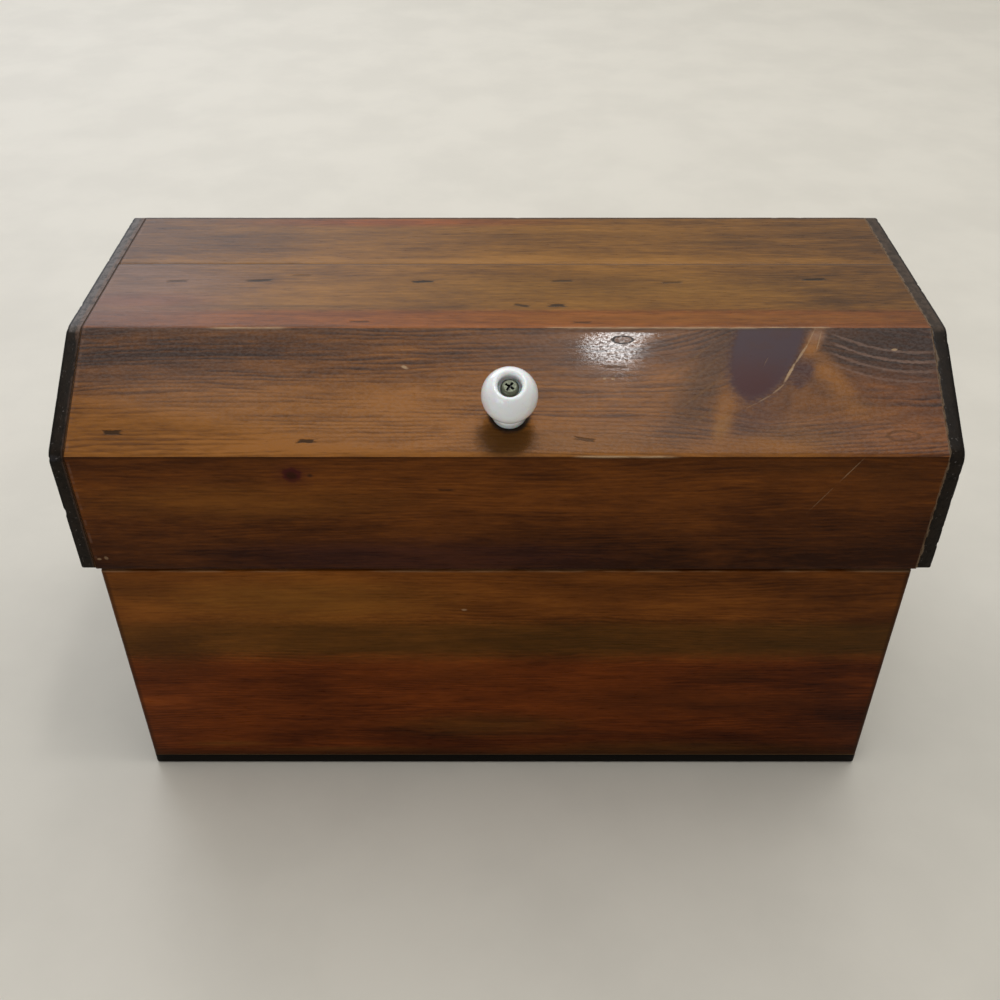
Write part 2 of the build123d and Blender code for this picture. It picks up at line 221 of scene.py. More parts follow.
class Wire:
    """One output of a tree's nodes. Arithmetic on wires adds Math nodes."""

    def __init__(self, nodes, socket):
        self.nodes = nodes
        self.socket = socket

    def maths(self, operation, *values):
        return self.nodes.node("ShaderNodeMath", {"operation": operation}, dict(enumerate(values)))

    def __add__(self, other):
        return self.maths("ADD", self, other)

    __radd__ = __add__

    def __sub__(self, other):
        return self.maths("SUBTRACT", self, other)

    def __rsub__(self, other):
        return self.maths("SUBTRACT", other, self)

    def __mul__(self, other):
        return self.maths("MULTIPLY", self, other)

    __rmul__ = __mul__

    def __truediv__(self, other):
        return self.maths("DIVIDE", self, other)

    def __abs__(self):
        return self.maths("ABSOLUTE", self)

    def least(self, other):
        return self.maths("MINIMUM", self, other)

    def most(self, other):
        return self.maths("MAXIMUM", self, other)

    def squared(self):
        return self * self

    def root(self):
        return self.maths("SQRT", self)

    def fraction(self):
        return self.maths("FRACT", self)

    def rise(self, low, high):
        """0 below low, 1 above high and smooth between them. High may be the lower one."""
        sockets = {"Value": self, "From Min": low, "From Max": high}
        if high < low:
            sockets.update({"From Min": high, "From Max": low, "To Min": 1.0, "To Max": 0.0})
        return self.nodes.node("ShaderNodeMapRange", {"interpolation_type": "SMOOTHSTEP"}, sockets)


class Nodes:
    """A shader's tree of nodes."""

    def __init__(self, tree):
        self.tree = tree

    def node(self, kind, settings=None, sockets=None, output=0):
        """Adds a node: its settings first, then the values or wires of its sockets."""
        node = self.tree.nodes.new(kind)
        for name, value in (settings or {}).items():
            if name == "stops":
                self.set_stops(node.color_ramp, value)
            else:
                setattr(node, name, value)
        for name, value in (sockets or {}).items():
            self.feed(node.inputs[name], value)
        return Wire(self, node.outputs[output])

    def feed(self, socket, value):
        if isinstance(value, Wire):
            self.tree.links.new(value.socket, socket)
        elif socket.type == "RGBA":
            socket.default_value = (*value[:3], 1.0)
        else:
            socket.default_value = value

    def set_stops(self, ramp, stops):
        """Fills a colour ramp from pairs of position and colour."""
        while len(ramp.elements) < len(stops):
            ramp.elements.new(0.5)
        for element, (position, shade) in zip(ramp.elements, stops):
            element.position = position
            element.color = (*shade[:3], 1.0)


class Finish(Nodes):
    """A procedural material. Its shader's sockets take numbers, colours or wires."""

    def __init__(self, name, seed=0.0):
        self.material = bpy.data.materials.new(name)
        self.material.use_nodes = True
        super().__init__(self.material.node_tree)
        self.shader = self.tree.nodes["Principled BSDF"]
        self.seed = seed

    def set(self, **sockets):
        """Sets the shader's sockets, such as base_color or roughness."""
        for name, value in sockets.items():
            title = name.replace("_", " ").title().replace("Ior", "IOR")
            self.feed(self.shader.inputs[title], value)

    def vector(self, operation, first, second, output="Vector"):
        return self.node("ShaderNodeVectorMath", {"operation": operation}, {0: first, 1: second}, output)

    def object_place(self):
        return self.node("ShaderNodeTexCoord", output="Object")

    def millimetres(self):
        """The place on the object, in millimetres."""
        return self.vector("MULTIPLY", self.object_place(), (1 / MM, 1 / MM, 1 / MM))

    def round_axis(self, foot, axis):
        """The distances in millimetres along an axis from its foot and out from it."""
        offset = self.vector("SUBTRACT", self.object_place(), foot)
        up = self.vector("DOT_PRODUCT", offset, axis / MM, "Value")
        spread = self.vector("LENGTH", offset, (0, 0, 0), "Value") / MM
        return up, (spread.squared() - up.squared()).most(0.0).root()

    def noise(self, x, y, z, detail=2.0, roughness=0.5):
        """Smooth noise from 0 to 1, about one swell for each unit of x, y and z."""
        spot = self.node("ShaderNodeCombineXYZ", sockets={0: x, 1: y, 2: z + self.seed})
        return self.mottle(spot, 1.0, detail, roughness)

    def mottle(self, place, scale, detail=2.0, roughness=0.5):
        """Smooth noise from 0 to 1 at a place."""
        sockets = {"Vector": place, "Scale": scale, "Detail": detail, "Roughness": roughness}
        return self.node("ShaderNodeTexNoise", sockets=sockets, output="Fac")

    def ramp(self, value, stops):
        return self.node("ShaderNodeValToRGB", {"stops": stops}, {"Fac": value}, "Color")

    def mix(self, factor, first, second, blend="MIX"):
        settings = {"data_type": "RGBA", "blend_type": blend}
        return self.node("ShaderNodeMix", settings, {0: factor, 6: first, 7: second}, 2)

    def bump(self, height):
        """A normal from a height in millimetres."""
        return self.node("ShaderNodeBump", sockets={"Strength": 1.0, "Distance": MM, "Height": height})


class Wood(Finish):
    """Wood measured in millimetres: u along the board, v down from its upper edge and w into the wood."""

    def __init__(self, name, board, seed, colours):
        super().__init__(name, seed)
        self.board = board
        self.colours = colours
        offset = self.vector("SUBTRACT", self.object_place(), board.origin)
        self.u = self.vector("DOT_PRODUCT", offset, board.along / MM, "Value")
        self.v = self.vector("DOT_PRODUCT", offset, board.down / MM, "Value")
        self.w = self.vector("DOT_PRODUCT", offset, board.into / MM, "Value")
        # How the grain runs down the board, and how much of its rings is left. A knot changes both.
        self.flow = self.v
        self.calm = 1.0
        self.ragged = self.noise(self.u * 0.30, self.v * 0.80, self.w, detail=3.0) - 0.5
        self.outside = self.w.rise(3.0, 1.5)
        specks = self.noise(self.u * 0.55, self.v * 0.9, self.w, detail=3.0, roughness=0.65)
        self.shine = 0.55 + specks.rise(0.38, 0.62) * 0.9

    def spot(self, point):
        """How far a point lies along the board and down from its upper edge."""
        offset = (point - self.board.origin) / MM
        return offset.dot(self.board.along), offset.dot(self.board.down)

    def part_round(self, along, down, left, right, up, low):
        """Makes the grain part round a knot. The last four are its reach to each side."""
        run = self.u - along
        fall = self.flow - down
        length_reach = left + run.rise(-6.0, 6.0) * (right - left)
        width_reach = up + fall.rise(-3.0, 3.0) * (low - up)
        distance = (run / length_reach).squared() + (fall / width_reach).squared()
        self.flow = down + fall * distance / (distance + 1.0)
        self.calm = self.calm * distance.rise(0.10, 0.80)

    def grow(self, pith_down, pith_deep, ring, drift, wander=1.0):
        """Lays the growth rings round a pith that runs along the board, and the fibres between them."""
        u, v, w = self.u, self.flow, self.w
        sweep = self.noise(u * 0.0042, v * 0.018, w * 0.018) * (16.0 * wander)
        wobble = self.noise(u * 0.034, v * 0.24, w * 0.24, detail=3.0) * (3.2 * wander)
        radius = ((v - pith_down).squared() + (w - pith_deep).squared()).root()
        ring_place = ((radius + sweep + wobble + u * drift) / ring).fraction()
        fading = self.noise(u * 0.012, v * 0.11, w * 0.11, detail=2.0).rise(0.30, 0.66)
        self.late = ring_place.rise(0.15, 0.80) * ring_place.rise(1.0, 0.84) * fading * self.calm
        self.fibre = self.noise(u * 0.105, v * 0.66, w * 0.66, detail=3.0, roughness=0.60)
        self.streak = self.noise(u * 0.030, v * 0.25, w * 0.25, detail=3.0, roughness=0.60)
        self.cloud = self.noise(u * 0.014, v * 0.048, w * 0.048, detail=2.0)
        self.fleck = self.noise(u * 0.17, v * 1.1, w * 1.1, detail=2.0).rise(0.60, 0.74)

    def stain(self, level, rings, streaks=0.9, clouds=0.7, fibres=0.8):
        """Colours the grown wood, outside and in. The level is a number or a wire."""
        c = self.colours
        tone = (
            level
            - (self.late - 0.25) * rings
            + (self.streak - 0.5) * streaks
            + (self.cloud - 0.5) * clouds
            + (self.fibre - 0.5) * fibres
        )
        stops = [
            (0.02, c.shadow_stain),
            (0.26, c.deep_stain),
            (0.50, c.brown_stain),
            (0.76, c.golden_stain),
            (0.98, c.pale_stain),
        ]
        self.shade = self.ramp(tone, stops)
        self.shade = self.mix(self.fleck * 0.30, self.shade, c.deep_stain)
        self.gloss = 0.30 + (self.fibre - 0.5) * 0.16
        self.height = self.late * 0.020 + self.fibre * 0.034 + self.streak * 0.03 + self.fleck * 0.02

    def tint(self, mask, shade, strength):
        """Lays another stain over the wood."""
        self.shade = self.mix(mask * strength, self.shade, shade)

    def redden(self, mask):
        """Multiplies the stain by the red dye."""
        self.shade = self.mix(mask, self.shade, self.colours.red_dye, "MULTIPLY")

    def from_end(self):
        """The distance to the nearer end of the board."""
        return self.board.half - abs(self.u)

    def ends(self, reach=90.0):
        """1 at both ends of the board, falling to 0 at some distance from them."""
        return self.from_end().rise(reach, -8.0)

    def across(self, top, bottom, soft=6.0):
        """A band across the board, between two distances from its upper edge."""
        wavy = self.flow + self.ragged * (soft * 1.6) + (self.streak - 0.5) * soft
        return wavy.rise(top - soft, top + soft) * wavy.rise(bottom + soft, bottom - soft)

    def turned(self, along, down, half_length, half_width, turn):
        """The distances from a middle along and across a turned mark, in its half sizes."""
        run = self.u - along
        fall = self.v - down
        cosine = math.cos(math.radians(turn))
        sine = math.sin(math.radians(turn))
        return (run * cosine - fall * sine) / half_length, (run * sine + fall * cosine) / half_width

    def spread(self, along, down, half_length, half_width, turn, ragged):
        """The uneven distance from the middle of a turned oval, 1 on its line."""
        lengthwise, crosswise = self.turned(along, down, half_length, half_width, turn)
        return (lengthwise.squared() + crosswise.squared()).root() + self.ragged * ragged

    def oval(self, along, down, half_length, half_width, turn=0.0, soft=0.3, ragged=0.5):
        """An uneven oval, 1 inside and 0 outside, turned anticlockwise by degrees."""
        distance = self.spread(along, down, half_length, half_width, turn, ragged)
        return distance.rise(1.0 + soft, 1.0 - soft)

    def dull(self, mask, strength=1.0):
        """Takes the shine off the wood."""
        self.shine = self.shine * (1.0 - mask * strength)

    def resin(self, along, down, half_length, half_width, turn=0.0, strength=0.85):
        """A short pocket of dark resin with blunt ends, sunk a little."""
        lengthwise, crosswise = self.turned(along, down, half_length, half_width, turn)
        distance = abs(lengthwise).most(abs(crosswise)) + self.ragged * 1.3
        mask = distance.rise(1.3, 0.7) * self.outside
        self.tint(mask, self.colours.resin, strength)
        self.height = self.height - mask * 0.12
        self.dull(mask, 0.8)

    def nick(self, along, down, half_length, half_width, turn=0.0, strength=0.8):
        """A pale nick through the stain."""
        mask = self.oval(along, down, half_length, half_width, turn, soft=0.45, ragged=1.1) * self.outside
        self.tint(mask, self.colours.bare_and_highlight, strength)
        self.gloss = self.gloss + mask * 0.3
        self.height = self.height - mask * 0.10

    def smear(self, along, down, half_length, half_width, shade, strength, turn=0.0, soft=0.8):
        """A soft patch of another stain, with streaky edges."""
        mask = self.oval(along, down, half_length, half_width, turn, soft=soft, ragged=0.9) * self.outside
        self.tint(mask * (0.62 + self.streak.rise(0.36, 0.62) * 0.38), shade, strength)

    def curl(self, along, down, reach, slope, bend, half_width, shade, strength):
        """A thin line that leaves a point to the right, falls and bends."""
        run = self.u - along
        gap = abs(self.v - down - run * slope - run.squared() * bend + self.ragged * 2.2)
        line = gap.rise(half_width * 1.7, half_width * 0.4)
        mask = line * run.rise(0.0, 6.0) * run.rise(reach, reach - 14.0)
        self.tint(mask * self.outside, shade, strength)

    def loop(self, along, down, half_length, half_width, shade, strength):
        """A thin ring."""
        distance = self.spread(along, down, half_length, half_width, 0.0, 0.5)
        mask = abs(distance - 1.0).rise(0.26, 0.06) * self.outside
        self.tint(mask, shade, strength)
        self.dull(mask, strength)

    def line_inside(self, depth=7.4, soft=0.4):
        """One thin matt coat on the inner face."""
        c = self.colours
        inner = self.w.rise(depth, depth + soft)
        raw = self.mix(self.late * 0.60 + (self.fibre - 0.5) * 0.5, c.raw_light, c.raw_dark)
        self.shade = self.mix(inner, self.shade, raw)
        self.gloss = self.gloss + inner * 0.24

    def seal(self, coat, level, coat_roughness=0.12):
        """Wires the finish to its shader."""
        self.set(
            base_color=self.shade,
            roughness=self.gloss,
            normal=self.bump(self.height),
            coat_weight=self.shine * coat,
            coat_roughness=coat_roughness,
            specular_ior_level=level,
        )
        return self.material


def facing(node, side):
    """A point and the normal of the largest flat of a CAD node that looks to one side."""
    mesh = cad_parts[node].data
    flats = [face for face in mesh.polygons if face.normal.dot(side) > LOOKS_TO]
    widest = max(flats, key=lambda face: face.area)
    return mesh.vertices[widest.vertices[0]].co.copy(), widest.normal.copy()


def outer_and_inner(node, outward):
    """Where a node's outer and inner faces lie on the axis along which it looks outward."""
    axis = 0 if outward.x else 1
    low, high = (corner[axis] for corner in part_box(node))
    return (low, high) if outward[axis] < 0 else (high, low)


def upright_board(node, outward):
    """Where an upright board lies."""
    low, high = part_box(node)
    axis, along = (X, Y) if outward.x else (Y, X)
    origin = axis * outer_and_inner(node, outward)[0] + Z * high.z
    size = (high - low) / MM
    return Board(origin, along, -Z, -outward, size.dot(along) / 2, size.z)


def board_corners(node, side):
    """A lid board's corners in the plane x = 0: the outer from front to back, then the inner back again."""
    onward = side.cross(X)
    outer, inner = facing(node, side), facing(node, -side)
    start, end = facing(node, -onward), facing(node, onward)
    corners = []
    for flat, cut in ((outer, start), (outer, end), (inner, end), (inner, start)):
        place, _ = intersect_plane_plane(*flat, *cut)
        corners.append(Vector((0, place.y, place.z)))
    return corners


def prism(outline, reach):
    """A closed solid from a flat outline that is pushed along one vector."""
    bm = bmesh.new()
    bm.faces.new([bm.verts.new(point) for point in outline])
    push(bm, reach)
    return bm


def push(bm, reach):
    """Pushes a flat face along one vector to a closed solid."""
    pushed = bmesh.ops.extrude_face_region(bm, geom=list(bm.faces))
    moved = [item for item in pushed["geom"] if isinstance(item, bmesh.types.BMVert)]
    bmesh.ops.translate(bm, verts=moved, vec=reach)
    bmesh.ops.recalc_face_normals(bm, faces=bm.faces)


def slab(low, high):
    """A closed box between two corners."""
    corners = ((low.x, low.y), (high.x, low.y), (high.x, high.y), (low.x, high.y))
    return prism([Vector((x, y, low.z)) for x, y in corners], Z * (high.z - low.z))


def edges_where(bm, test):
    """The edges of which both ends pass a test."""
    return [edge for edge in bm.edges if all(test(vert.co) for vert in edge.verts)]


def edges_along(bm, direction, through=None):
    """The edges that run one way, or those of them whose line passes through one of some points."""
    chosen = []
    for edge in bm.edges:
        run = edge.verts[1].co - edge.verts[0].co
        if run.cross(direction).length > ONE_WAY * run.length:
            continue
        start = edge.verts[0].co
        if through is None or any((start - point).cross(direction).length < NEAR for point in through):
            chosen.append(edge)
    return chosen


def ease(bm, geom, size, segments=3, affect="EDGES", clamp=True):
    """Rounds edges or corners over."""
    bmesh.ops.bevel(
        bm,
        geom=geom,
        offset=size,
        offset_type="OFFSET",
        segments=segments,
        profile=0.5,
        affect=affect,
        clamp_overlap=clamp,
        material=-1,
    )


def cut_up(bm, edges, size, pitch):
    """Cuts edges of one size into steps of about one pitch."""
    cuts = max(1, round(size / pitch) - 1)
    bmesh.ops.subdivide_edges(bm, edges=edges, cuts=cuts, use_grid_fill=True)


def divide(bm, edges, pitch):
    """Cuts up edges of like length, and drops the short ones among them."""
    longest = max(edge.calc_length() for edge in edges)
    cut_up(bm, [edge for edge in edges if edge.calc_length() > 0.6 * longest], longest, pitch)


def dish(bm, origin, into, depth, seed):
    """Lets a flat face dip and swell a little, as hand-planed wood does. It never rises above its plane."""
    for vert in bm.verts:
        if (vert.co - origin).dot(into) < 1.0 * MM:
            place = vert.co / MM
            swell = noise.noise(Vector((place.x * 0.017, place.y * 0.045, place.z * 0.045)) + seed * X)
            vert.co += into * (depth * (0.5 + 0.5 * swell))


# How far the wear of an edge reaches from it and how deep it goes
FOLD_WEAR = (1.3 * MM, 0.30 * MM)
RIM_WEAR = (1.3 * MM, 0.22 * MM)
CORNER_WEAR = (1.9 * MM, 0.25 * MM)


def rub(bm, start, end, into, wear, seed):
    """Wears a long edge unevenly."""
    reach, depth = wear
    along = (end - start).normalized()
    middle = (start + end) / 2
    for vert in bm.verts:
        run = (vert.co - middle).dot(along)
        away = (vert.co - middle - along * run).length
        if away > reach:
            continue
        spot = Vector((run / MM, seed, 0.0))
        rubbed = 0.5 + 0.5 * noise.noise(spot * 0.045)
        nicked = max(0.0, noise.noise(spot * 0.21 + Y * 7.3) - 0.22)
        lost = depth * (0.55 * rubbed + 1.3 * nicked)
        vert.co += into * (lost * (1.0 - away / reach) ** 2)


def shade_smooth(bm, sharp_above=SHARP_ABOVE):
    """Shades a mesh smooth apart from its sharp edges."""
    for face in bm.faces:
        face.smooth = True
    for edge in bm.edges:
        edge.smooth = edge.calc_face_angle(0.0) < math.radians(sharp_above)


def piece_from(bm, name, sharp_above=SHARP_ABOVE):
    """Makes an object of a bmesh, smooth apart from its sharp edges."""
    bmesh.ops.remove_doubles(bm, verts=bm.verts, dist=SAME)
    bmesh.ops.recalc_face_normals(bm, faces=bm.faces)
    shade_smooth(bm, sharp_above)
    mesh = bpy.data.meshes.new(name)
    bm.to_mesh(mesh)
    bm.free()
    piece = bpy.data.objects.new(name, mesh)
    bpy.context.scene.collection.objects.link(piece)
    return piece


def stand_for(piece, node, body, material):
    """Gives a piece its finish and its body, and hides the CAD node that it stands for."""
    piece.data.materials.append(material)
    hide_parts(node)
    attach(piece, body)


def paint(node, material):
    """Gives a CAD node another finish."""
    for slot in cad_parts[node].material_slots:
        slot.material = material


def side_normal(corners):
    """The outward normal of a lid board."""
    outward = X.cross((corners[1] - corners[0]).normalized())
    return outward if outward.dot(corners[0] - corners[3]) > 0 else -outward


def lid_board_mesh(node, corners, seed, settings):
    """A lid board with rubbed folds."""
    low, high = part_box(node)
    outline = [corner + X * low.x for corner in corners]
    onward = (corners[1] - corners[0]).normalized()
    outward = side_normal(corners)
    bm = prism(outline, X * (high.x - low.x))
    ends = [outline[0], outline[0] + X * (high.x - low.x)]
    ease(bm, edges_along(bm, onward, ends), settings.joint_ease, 2)
    ease(bm, edges_along(bm, X, outline[:2]), settings.fold_ease)
    divide(bm, edges_along(bm, X), settings.wear_pitch)
    across = edges_along(bm, onward)
    rows = [edge for edge in across if abs((edge.verts[0].co - outline[0]).dot(outward)) < NEAR]
    divide(bm, rows, settings.row_pitch)
    dish(bm, outline[0], -outward, settings.hollow, seed)
    for corner, inner in ((corners[0], corners[3]), (corners[1], corners[2])):
        # Two boards that meet at a fold have the same wear there
        fold_seed = 1.7 + corner.z / MM
        rub(bm, corner + X * low.x, corner + X * high.x, (inner - corner).normalized(), FOLD_WEAR, fold_seed)
    return bm


def lid_wood(node, corners, side, seed, settings):
    """The wood of one lid board. It starts at the upper edge, or at the back on the flat top."""
    first, second = corners[:2]
    upper, lower = (second, first) if side.dot(Y) < 0.5 else (first, second)
    fall = lower - upper
    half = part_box(node)[1].x / MM
    board = Board(upper, X, fall.normalized(), -side_normal(corners), half, fall.length / MM)
    return Wood(f"{node}_finish", board, seed, settings)


def joint_lines(finish):
    """Old glue and wear along the joints with the end boards."""
    from_end = finish.from_end()
    right = finish.u.rise(-1.0, 1.0)
    uneven = finish.noise(right * 9.0, finish.v * 0.16, finish.w * 0.16, detail=4.0, roughness=0.65)
    wavy = from_end + (uneven - 0.5) * 3.4
    dark = from_end.rise(0.75, 0.40) * (1.0 - right * 0.45) * finish.outside
    finish.tint(dark, finish.colours.shadow_stain, 0.90)
    finish.dull(dark, 0.9)
    beside = abs(from_end - 1.5).rise(0.9, 0.2) * uneven.rise(0.44, 0.60) * (1.0 - right)
    finish.tint(beside * finish.outside, finish.colours.wax_and_sheen, 0.25)
    old_glue = wavy.rise(0.9, 0.4) * (0.25 + 0.75 * uneven.rise(0.44, 0.56)) * right * finish.outside
    finish.tint(old_glue, finish.colours.glue, 0.55)


# How far a pale fold line, partly rubbed wear and partly painted highlight, fades to either side of its
# start and its end, in millimetres
FADE = 4.0


def fold_wear_and_highlight(finish, edge, spans, strength, reach=0.95):
    """Pale rubbed lines on an arris, partly painted highlight along the fold's round. Each span is (from,
    to) along the board.
    """
    near = abs(finish.v - edge).rise(reach, reach * 0.3) * finish.outside
    broken = 0.45 + 0.55 * finish.noise(finish.u * 0.13, finish.v * 0.5, 0.0, detail=3.0).rise(0.34, 0.62)
    for start, end in spans:
        run = finish.u.rise(start - FADE, start + FADE) * finish.u.rise(end + FADE, end - FADE)
        finish.tint(near * broken * run, finish.colours.bare_and_highlight, strength)


def finish_lid_front(wood):
    """Red-brown, with a small knot at the left and two scratches at the right."""
    c = wood.colours
    wood.grow(pith_down=-46.0, pith_deep=38.0, ring=1.9, drift=0.012, wander=1.1)
    # The term in u darkens the board a little toward the right end: painted shade of the light from the left
    level = 0.355 + wood.v.rise(2.0, 16.0) * 0.07 - wood.v.rise(20.0, 66.0) * 0.30 - wood.u * 0.00012
    level = level - wood.ends(50.0) * 0.08
    wood.stain(level, rings=0.10, streaks=0.46, clouds=0.60, fibres=0.42)
    wood.redden(0.58)
    wood.smear(-45.0, 60.0, 75.0, 9.0, c.plum_tint, 0.50)
    wood.smear(178.0, 12.0, 16.0, 8.0, c.shadow_stain, 0.40)
    wood.smear(140.0, 6.0, 30.0, 4.0, c.shadow_stain, 0.40)
    wood.smear(-125.0, 26.0, 60.0, 9.0, c.golden_stain, 0.22)
    wood.smear(-98.0, 10.5, 7.5, 6.0, c.maroon, 0.40)
    wood.smear(-98.0, 10.2, 4.4, 4.0, c.maroon, 0.95, soft=0.25)
    wood.smear(-98.4, 10.6, 2.4, 2.1, c.shadow_stain, 0.75, soft=0.4)
    wood.dull(wood.oval(-98.0, 10.3, 5.0, 4.4) * wood.outside, 0.70)
    wood.smear(-90.0, 10.4, 1.1, 0.9, c.resin, 0.7)
    wood.resin(-28.0, 19.0, 3.6, 0.6, strength=0.6)
    wood.nick(157.2, 7.6, 6.6, 0.26, turn=57.0, strength=0.36)
    wood.nick(146.4, 24.2, 7.2, 0.22, turn=57.0, strength=0.22)
    wood.nick(-197.6, 61.4, 0.9, 0.6, strength=0.45)
    wood.nick(-194.0, 60.6, 0.8, 1.2, turn=20.0, strength=0.35)
    wood.tint(wood.v.rise(1.8, 0.9), c.shadow_stain, 0.45)
    fold_wear_and_highlight(wood, 0.0, [(32.0, 76.0)], 0.8)
    return {"coat": 0.05, "level": 0.05}


def knob_foot():
    """Where the knob's axis leaves the slope board, and which way it points."""
    surface, axis = facing("lid_front_slope_board", LID_BOARDS["lid_front_slope_board"])
    low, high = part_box("knob_washer")
    middle = (low + high) / 2
    return middle + axis * (surface - middle).dot(axis), axis


def finish_slope(wood):
    """Paler toward the fold below, with the large knot at the right, painted sheen in two pale patches and
    painted shadow round and below the knob.
    """
    c = wood.colours
    wood.part_round(120.0, 38.0, 20.0, 44.0, 34.0, 13.0)
    wood.grow(pith_down=-34.0, pith_deep=30.0, ring=2.0, drift=0.006, wander=0.9)
    level = 0.352 + wood.v.rise(4.0, 42.0) * 0.42 + wood.v.rise(26.0, 56.0) * 0.08 - wood.ends() * 0.18
    level = level - wood.u.rise(50.0, 200.0) * 0.10
    level = level - wood.u.rise(20.0, 110.0) * wood.v.rise(26.0, 40.0) * 0.10
    level = level - wood.u.rise(-60.0, -150.0) * wood.across(10.0, 33.0) * 0.18
    upper_left = wood.v.rise(18.0, 4.0) * wood.u.rise(-190.0, -120.0) * wood.u.rise(110.0, 90.0)
    level = level + upper_left * 0.05
    level = level - wood.u.rise(-50.0, -10.0) * wood.across(33.0, 50.0) * 0.09
    level = level + wood.u.rise(150.0, 180.0) * wood.v.rise(44.0, 54.0) * 0.08
    level = level - wood.u.rise(0.0, 70.0) * wood.v.rise(30.0, 50.0) * 0.07
    wood.stain(level, rings=0.34, streaks=0.74, clouds=0.70, fibres=0.56)
    wood.redden(0.31 + wood.u.rise(130.0, 190.0) * 0.19)
    # Painted sheen: two pale patches, low at the right and high in the middle
    wood.smear(118.0, 54.0, 62.0, 7.0, c.wax_and_sheen, 0.22)
    wood.smear(56.0, 9.0, 62.0, 17.0, c.wax_and_sheen, 0.17)
    wood.smear(34.0, 58.0, 34.0, 6.0, c.brown_stain, 0.45)
    wood.smear(132.0, 56.0, 20.0, 5.0, c.brown_stain, 0.45)
    wood.smear(-150.0, 30.0, 46.0, 12.0, c.wax_and_sheen, 0.22)
    wood.smear(-110.0, 44.0, 90.0, 14.0, c.golden_stain, 0.15)
    # Wood round the knot: darker to its left and upper right, golden at its lower left and right
    wood.smear(92.0, 27.0, 30.0, 9.0, c.shadow_stain, 0.66, turn=60.0)
    wood.smear(174.0, 11.0, 32.0, 12.0, c.shadow_stain, 0.85, turn=-10.0)
    for along, down, strength in (
        (151.0, 2.0, 0.45),
        (151.0, 7.0, 0.55),
        (149.5, 12.0, 0.45),
        (148.0, 17.0, 0.35),
    ):
        wood.curl(along, down, 56.0, 0.54, -0.0066, 0.62, c.wax_and_sheen, strength)
    for along, down in ((74.0, 35.0), (78.0, 42.0), (72.0, 27.0), (84.0, 50.0)):
        wood.curl(along, down, 30.0, -0.62, -0.0060, 0.60, c.brown_stain, 0.55)
    wood.smear(143.5, 8.0, 11.0, 3.2, c.amber, 0.85, turn=62.0, soft=0.6)
    wood.smear(146.0, 4.0, 4.0, 3.4, c.wax_and_sheen, 0.55)
    wood.smear(151.0, 27.0, 17.0, 5.5, c.amber, 0.80, turn=-58.0)
    wood.smear(160.0, 42.0, 20.0, 5.0, c.amber, 0.35, turn=-12.0)
    wood.smear(99.5, 46.0, 11.0, 4.2, c.amber, 0.80, turn=78.0, soft=0.8)
    wood.smear(107.0, 37.0, 7.0, 3.2, c.amber, 0.60, turn=40.0)
    wood.smear(98.0, 51.0, 6.0, 3.0, c.pale_stain, 0.60, turn=62.0)
    wood.smear(116.0, 60.0, 20.0, 3.4, c.amber, 0.75, turn=-6.0)
    wood.smear(115.0, 46.0, 15.0, 7.0, c.plum_tint, 0.46, turn=24.0)
    wood.smear(137.5, 23.5, 8.4, 4.6, c.plum_tint, 0.90, turn=60.0, soft=0.4)
    around = wood.oval(122.6, 8.0, 34.5, 16.0, turn=66.5, soft=0.16, ragged=0.45) * wood.outside
    knot = wood.oval(123.0, 6.0, 32.5, 14.2, turn=66.5, soft=0.10, ragged=0.16) * wood.outside
    wood.tint(around, c.plum_tint, 0.75)
    wood.tint(knot, c.knot, 0.94)
    veins = wood.noise(wood.u * 0.16, wood.v * 0.16, wood.w * 0.1, detail=3.0)
    wood.tint(knot * veins.rise(0.46, 0.66), c.plum_tint, 0.60)
    wood.tint(knot * wood.oval(111.0, 30.0, 18.0, 13.0, soft=0.8), c.maroon, 0.80)
    wood.shine = wood.shine * (1.0 - knot) + knot * (1.15 - wood.v.rise(8.0, 38.0) * 0.50)
    wood.height = wood.height * (1.0 - knot * 0.85)
    for along, down, half, wide, turn, strength in (
        (143.3, 4.5, 5.2, 0.40, 62.0, 0.28),
        (138.0, 13.5, 5.6, 0.50, 56.0, 0.62),
        (131.6, 23.3, 5.6, 0.60, 59.0, 0.85),
        (125.6, 31.8, 3.3, 0.40, 40.0, 0.44),
        (119.0, 36.6, 3.5, 0.35, 30.0, 0.30),
        (112.5, 40.2, 3.0, 0.30, 24.0, 0.18),
        (146.8, 6.5, 4.6, 0.35, 72.0, 0.34),
        (121.0, 17.5, 2.6, 0.30, 62.0, 0.14),
    ):
        wood.nick(along, down, half, wide, turn, strength)
    # Painted contact shadow round the knob's foot, and a painted shadow of the knob below it, dark and dull
    along, down = wood.spot(knob_foot()[0])
    rubbed = wood.oval(along - 1.5, down + 12.5, 13.5, 9.5, soft=0.35) * wood.outside
    wood.tint(rubbed, c.deep_stain, 0.82)
    wood.dull(rubbed, 0.85)
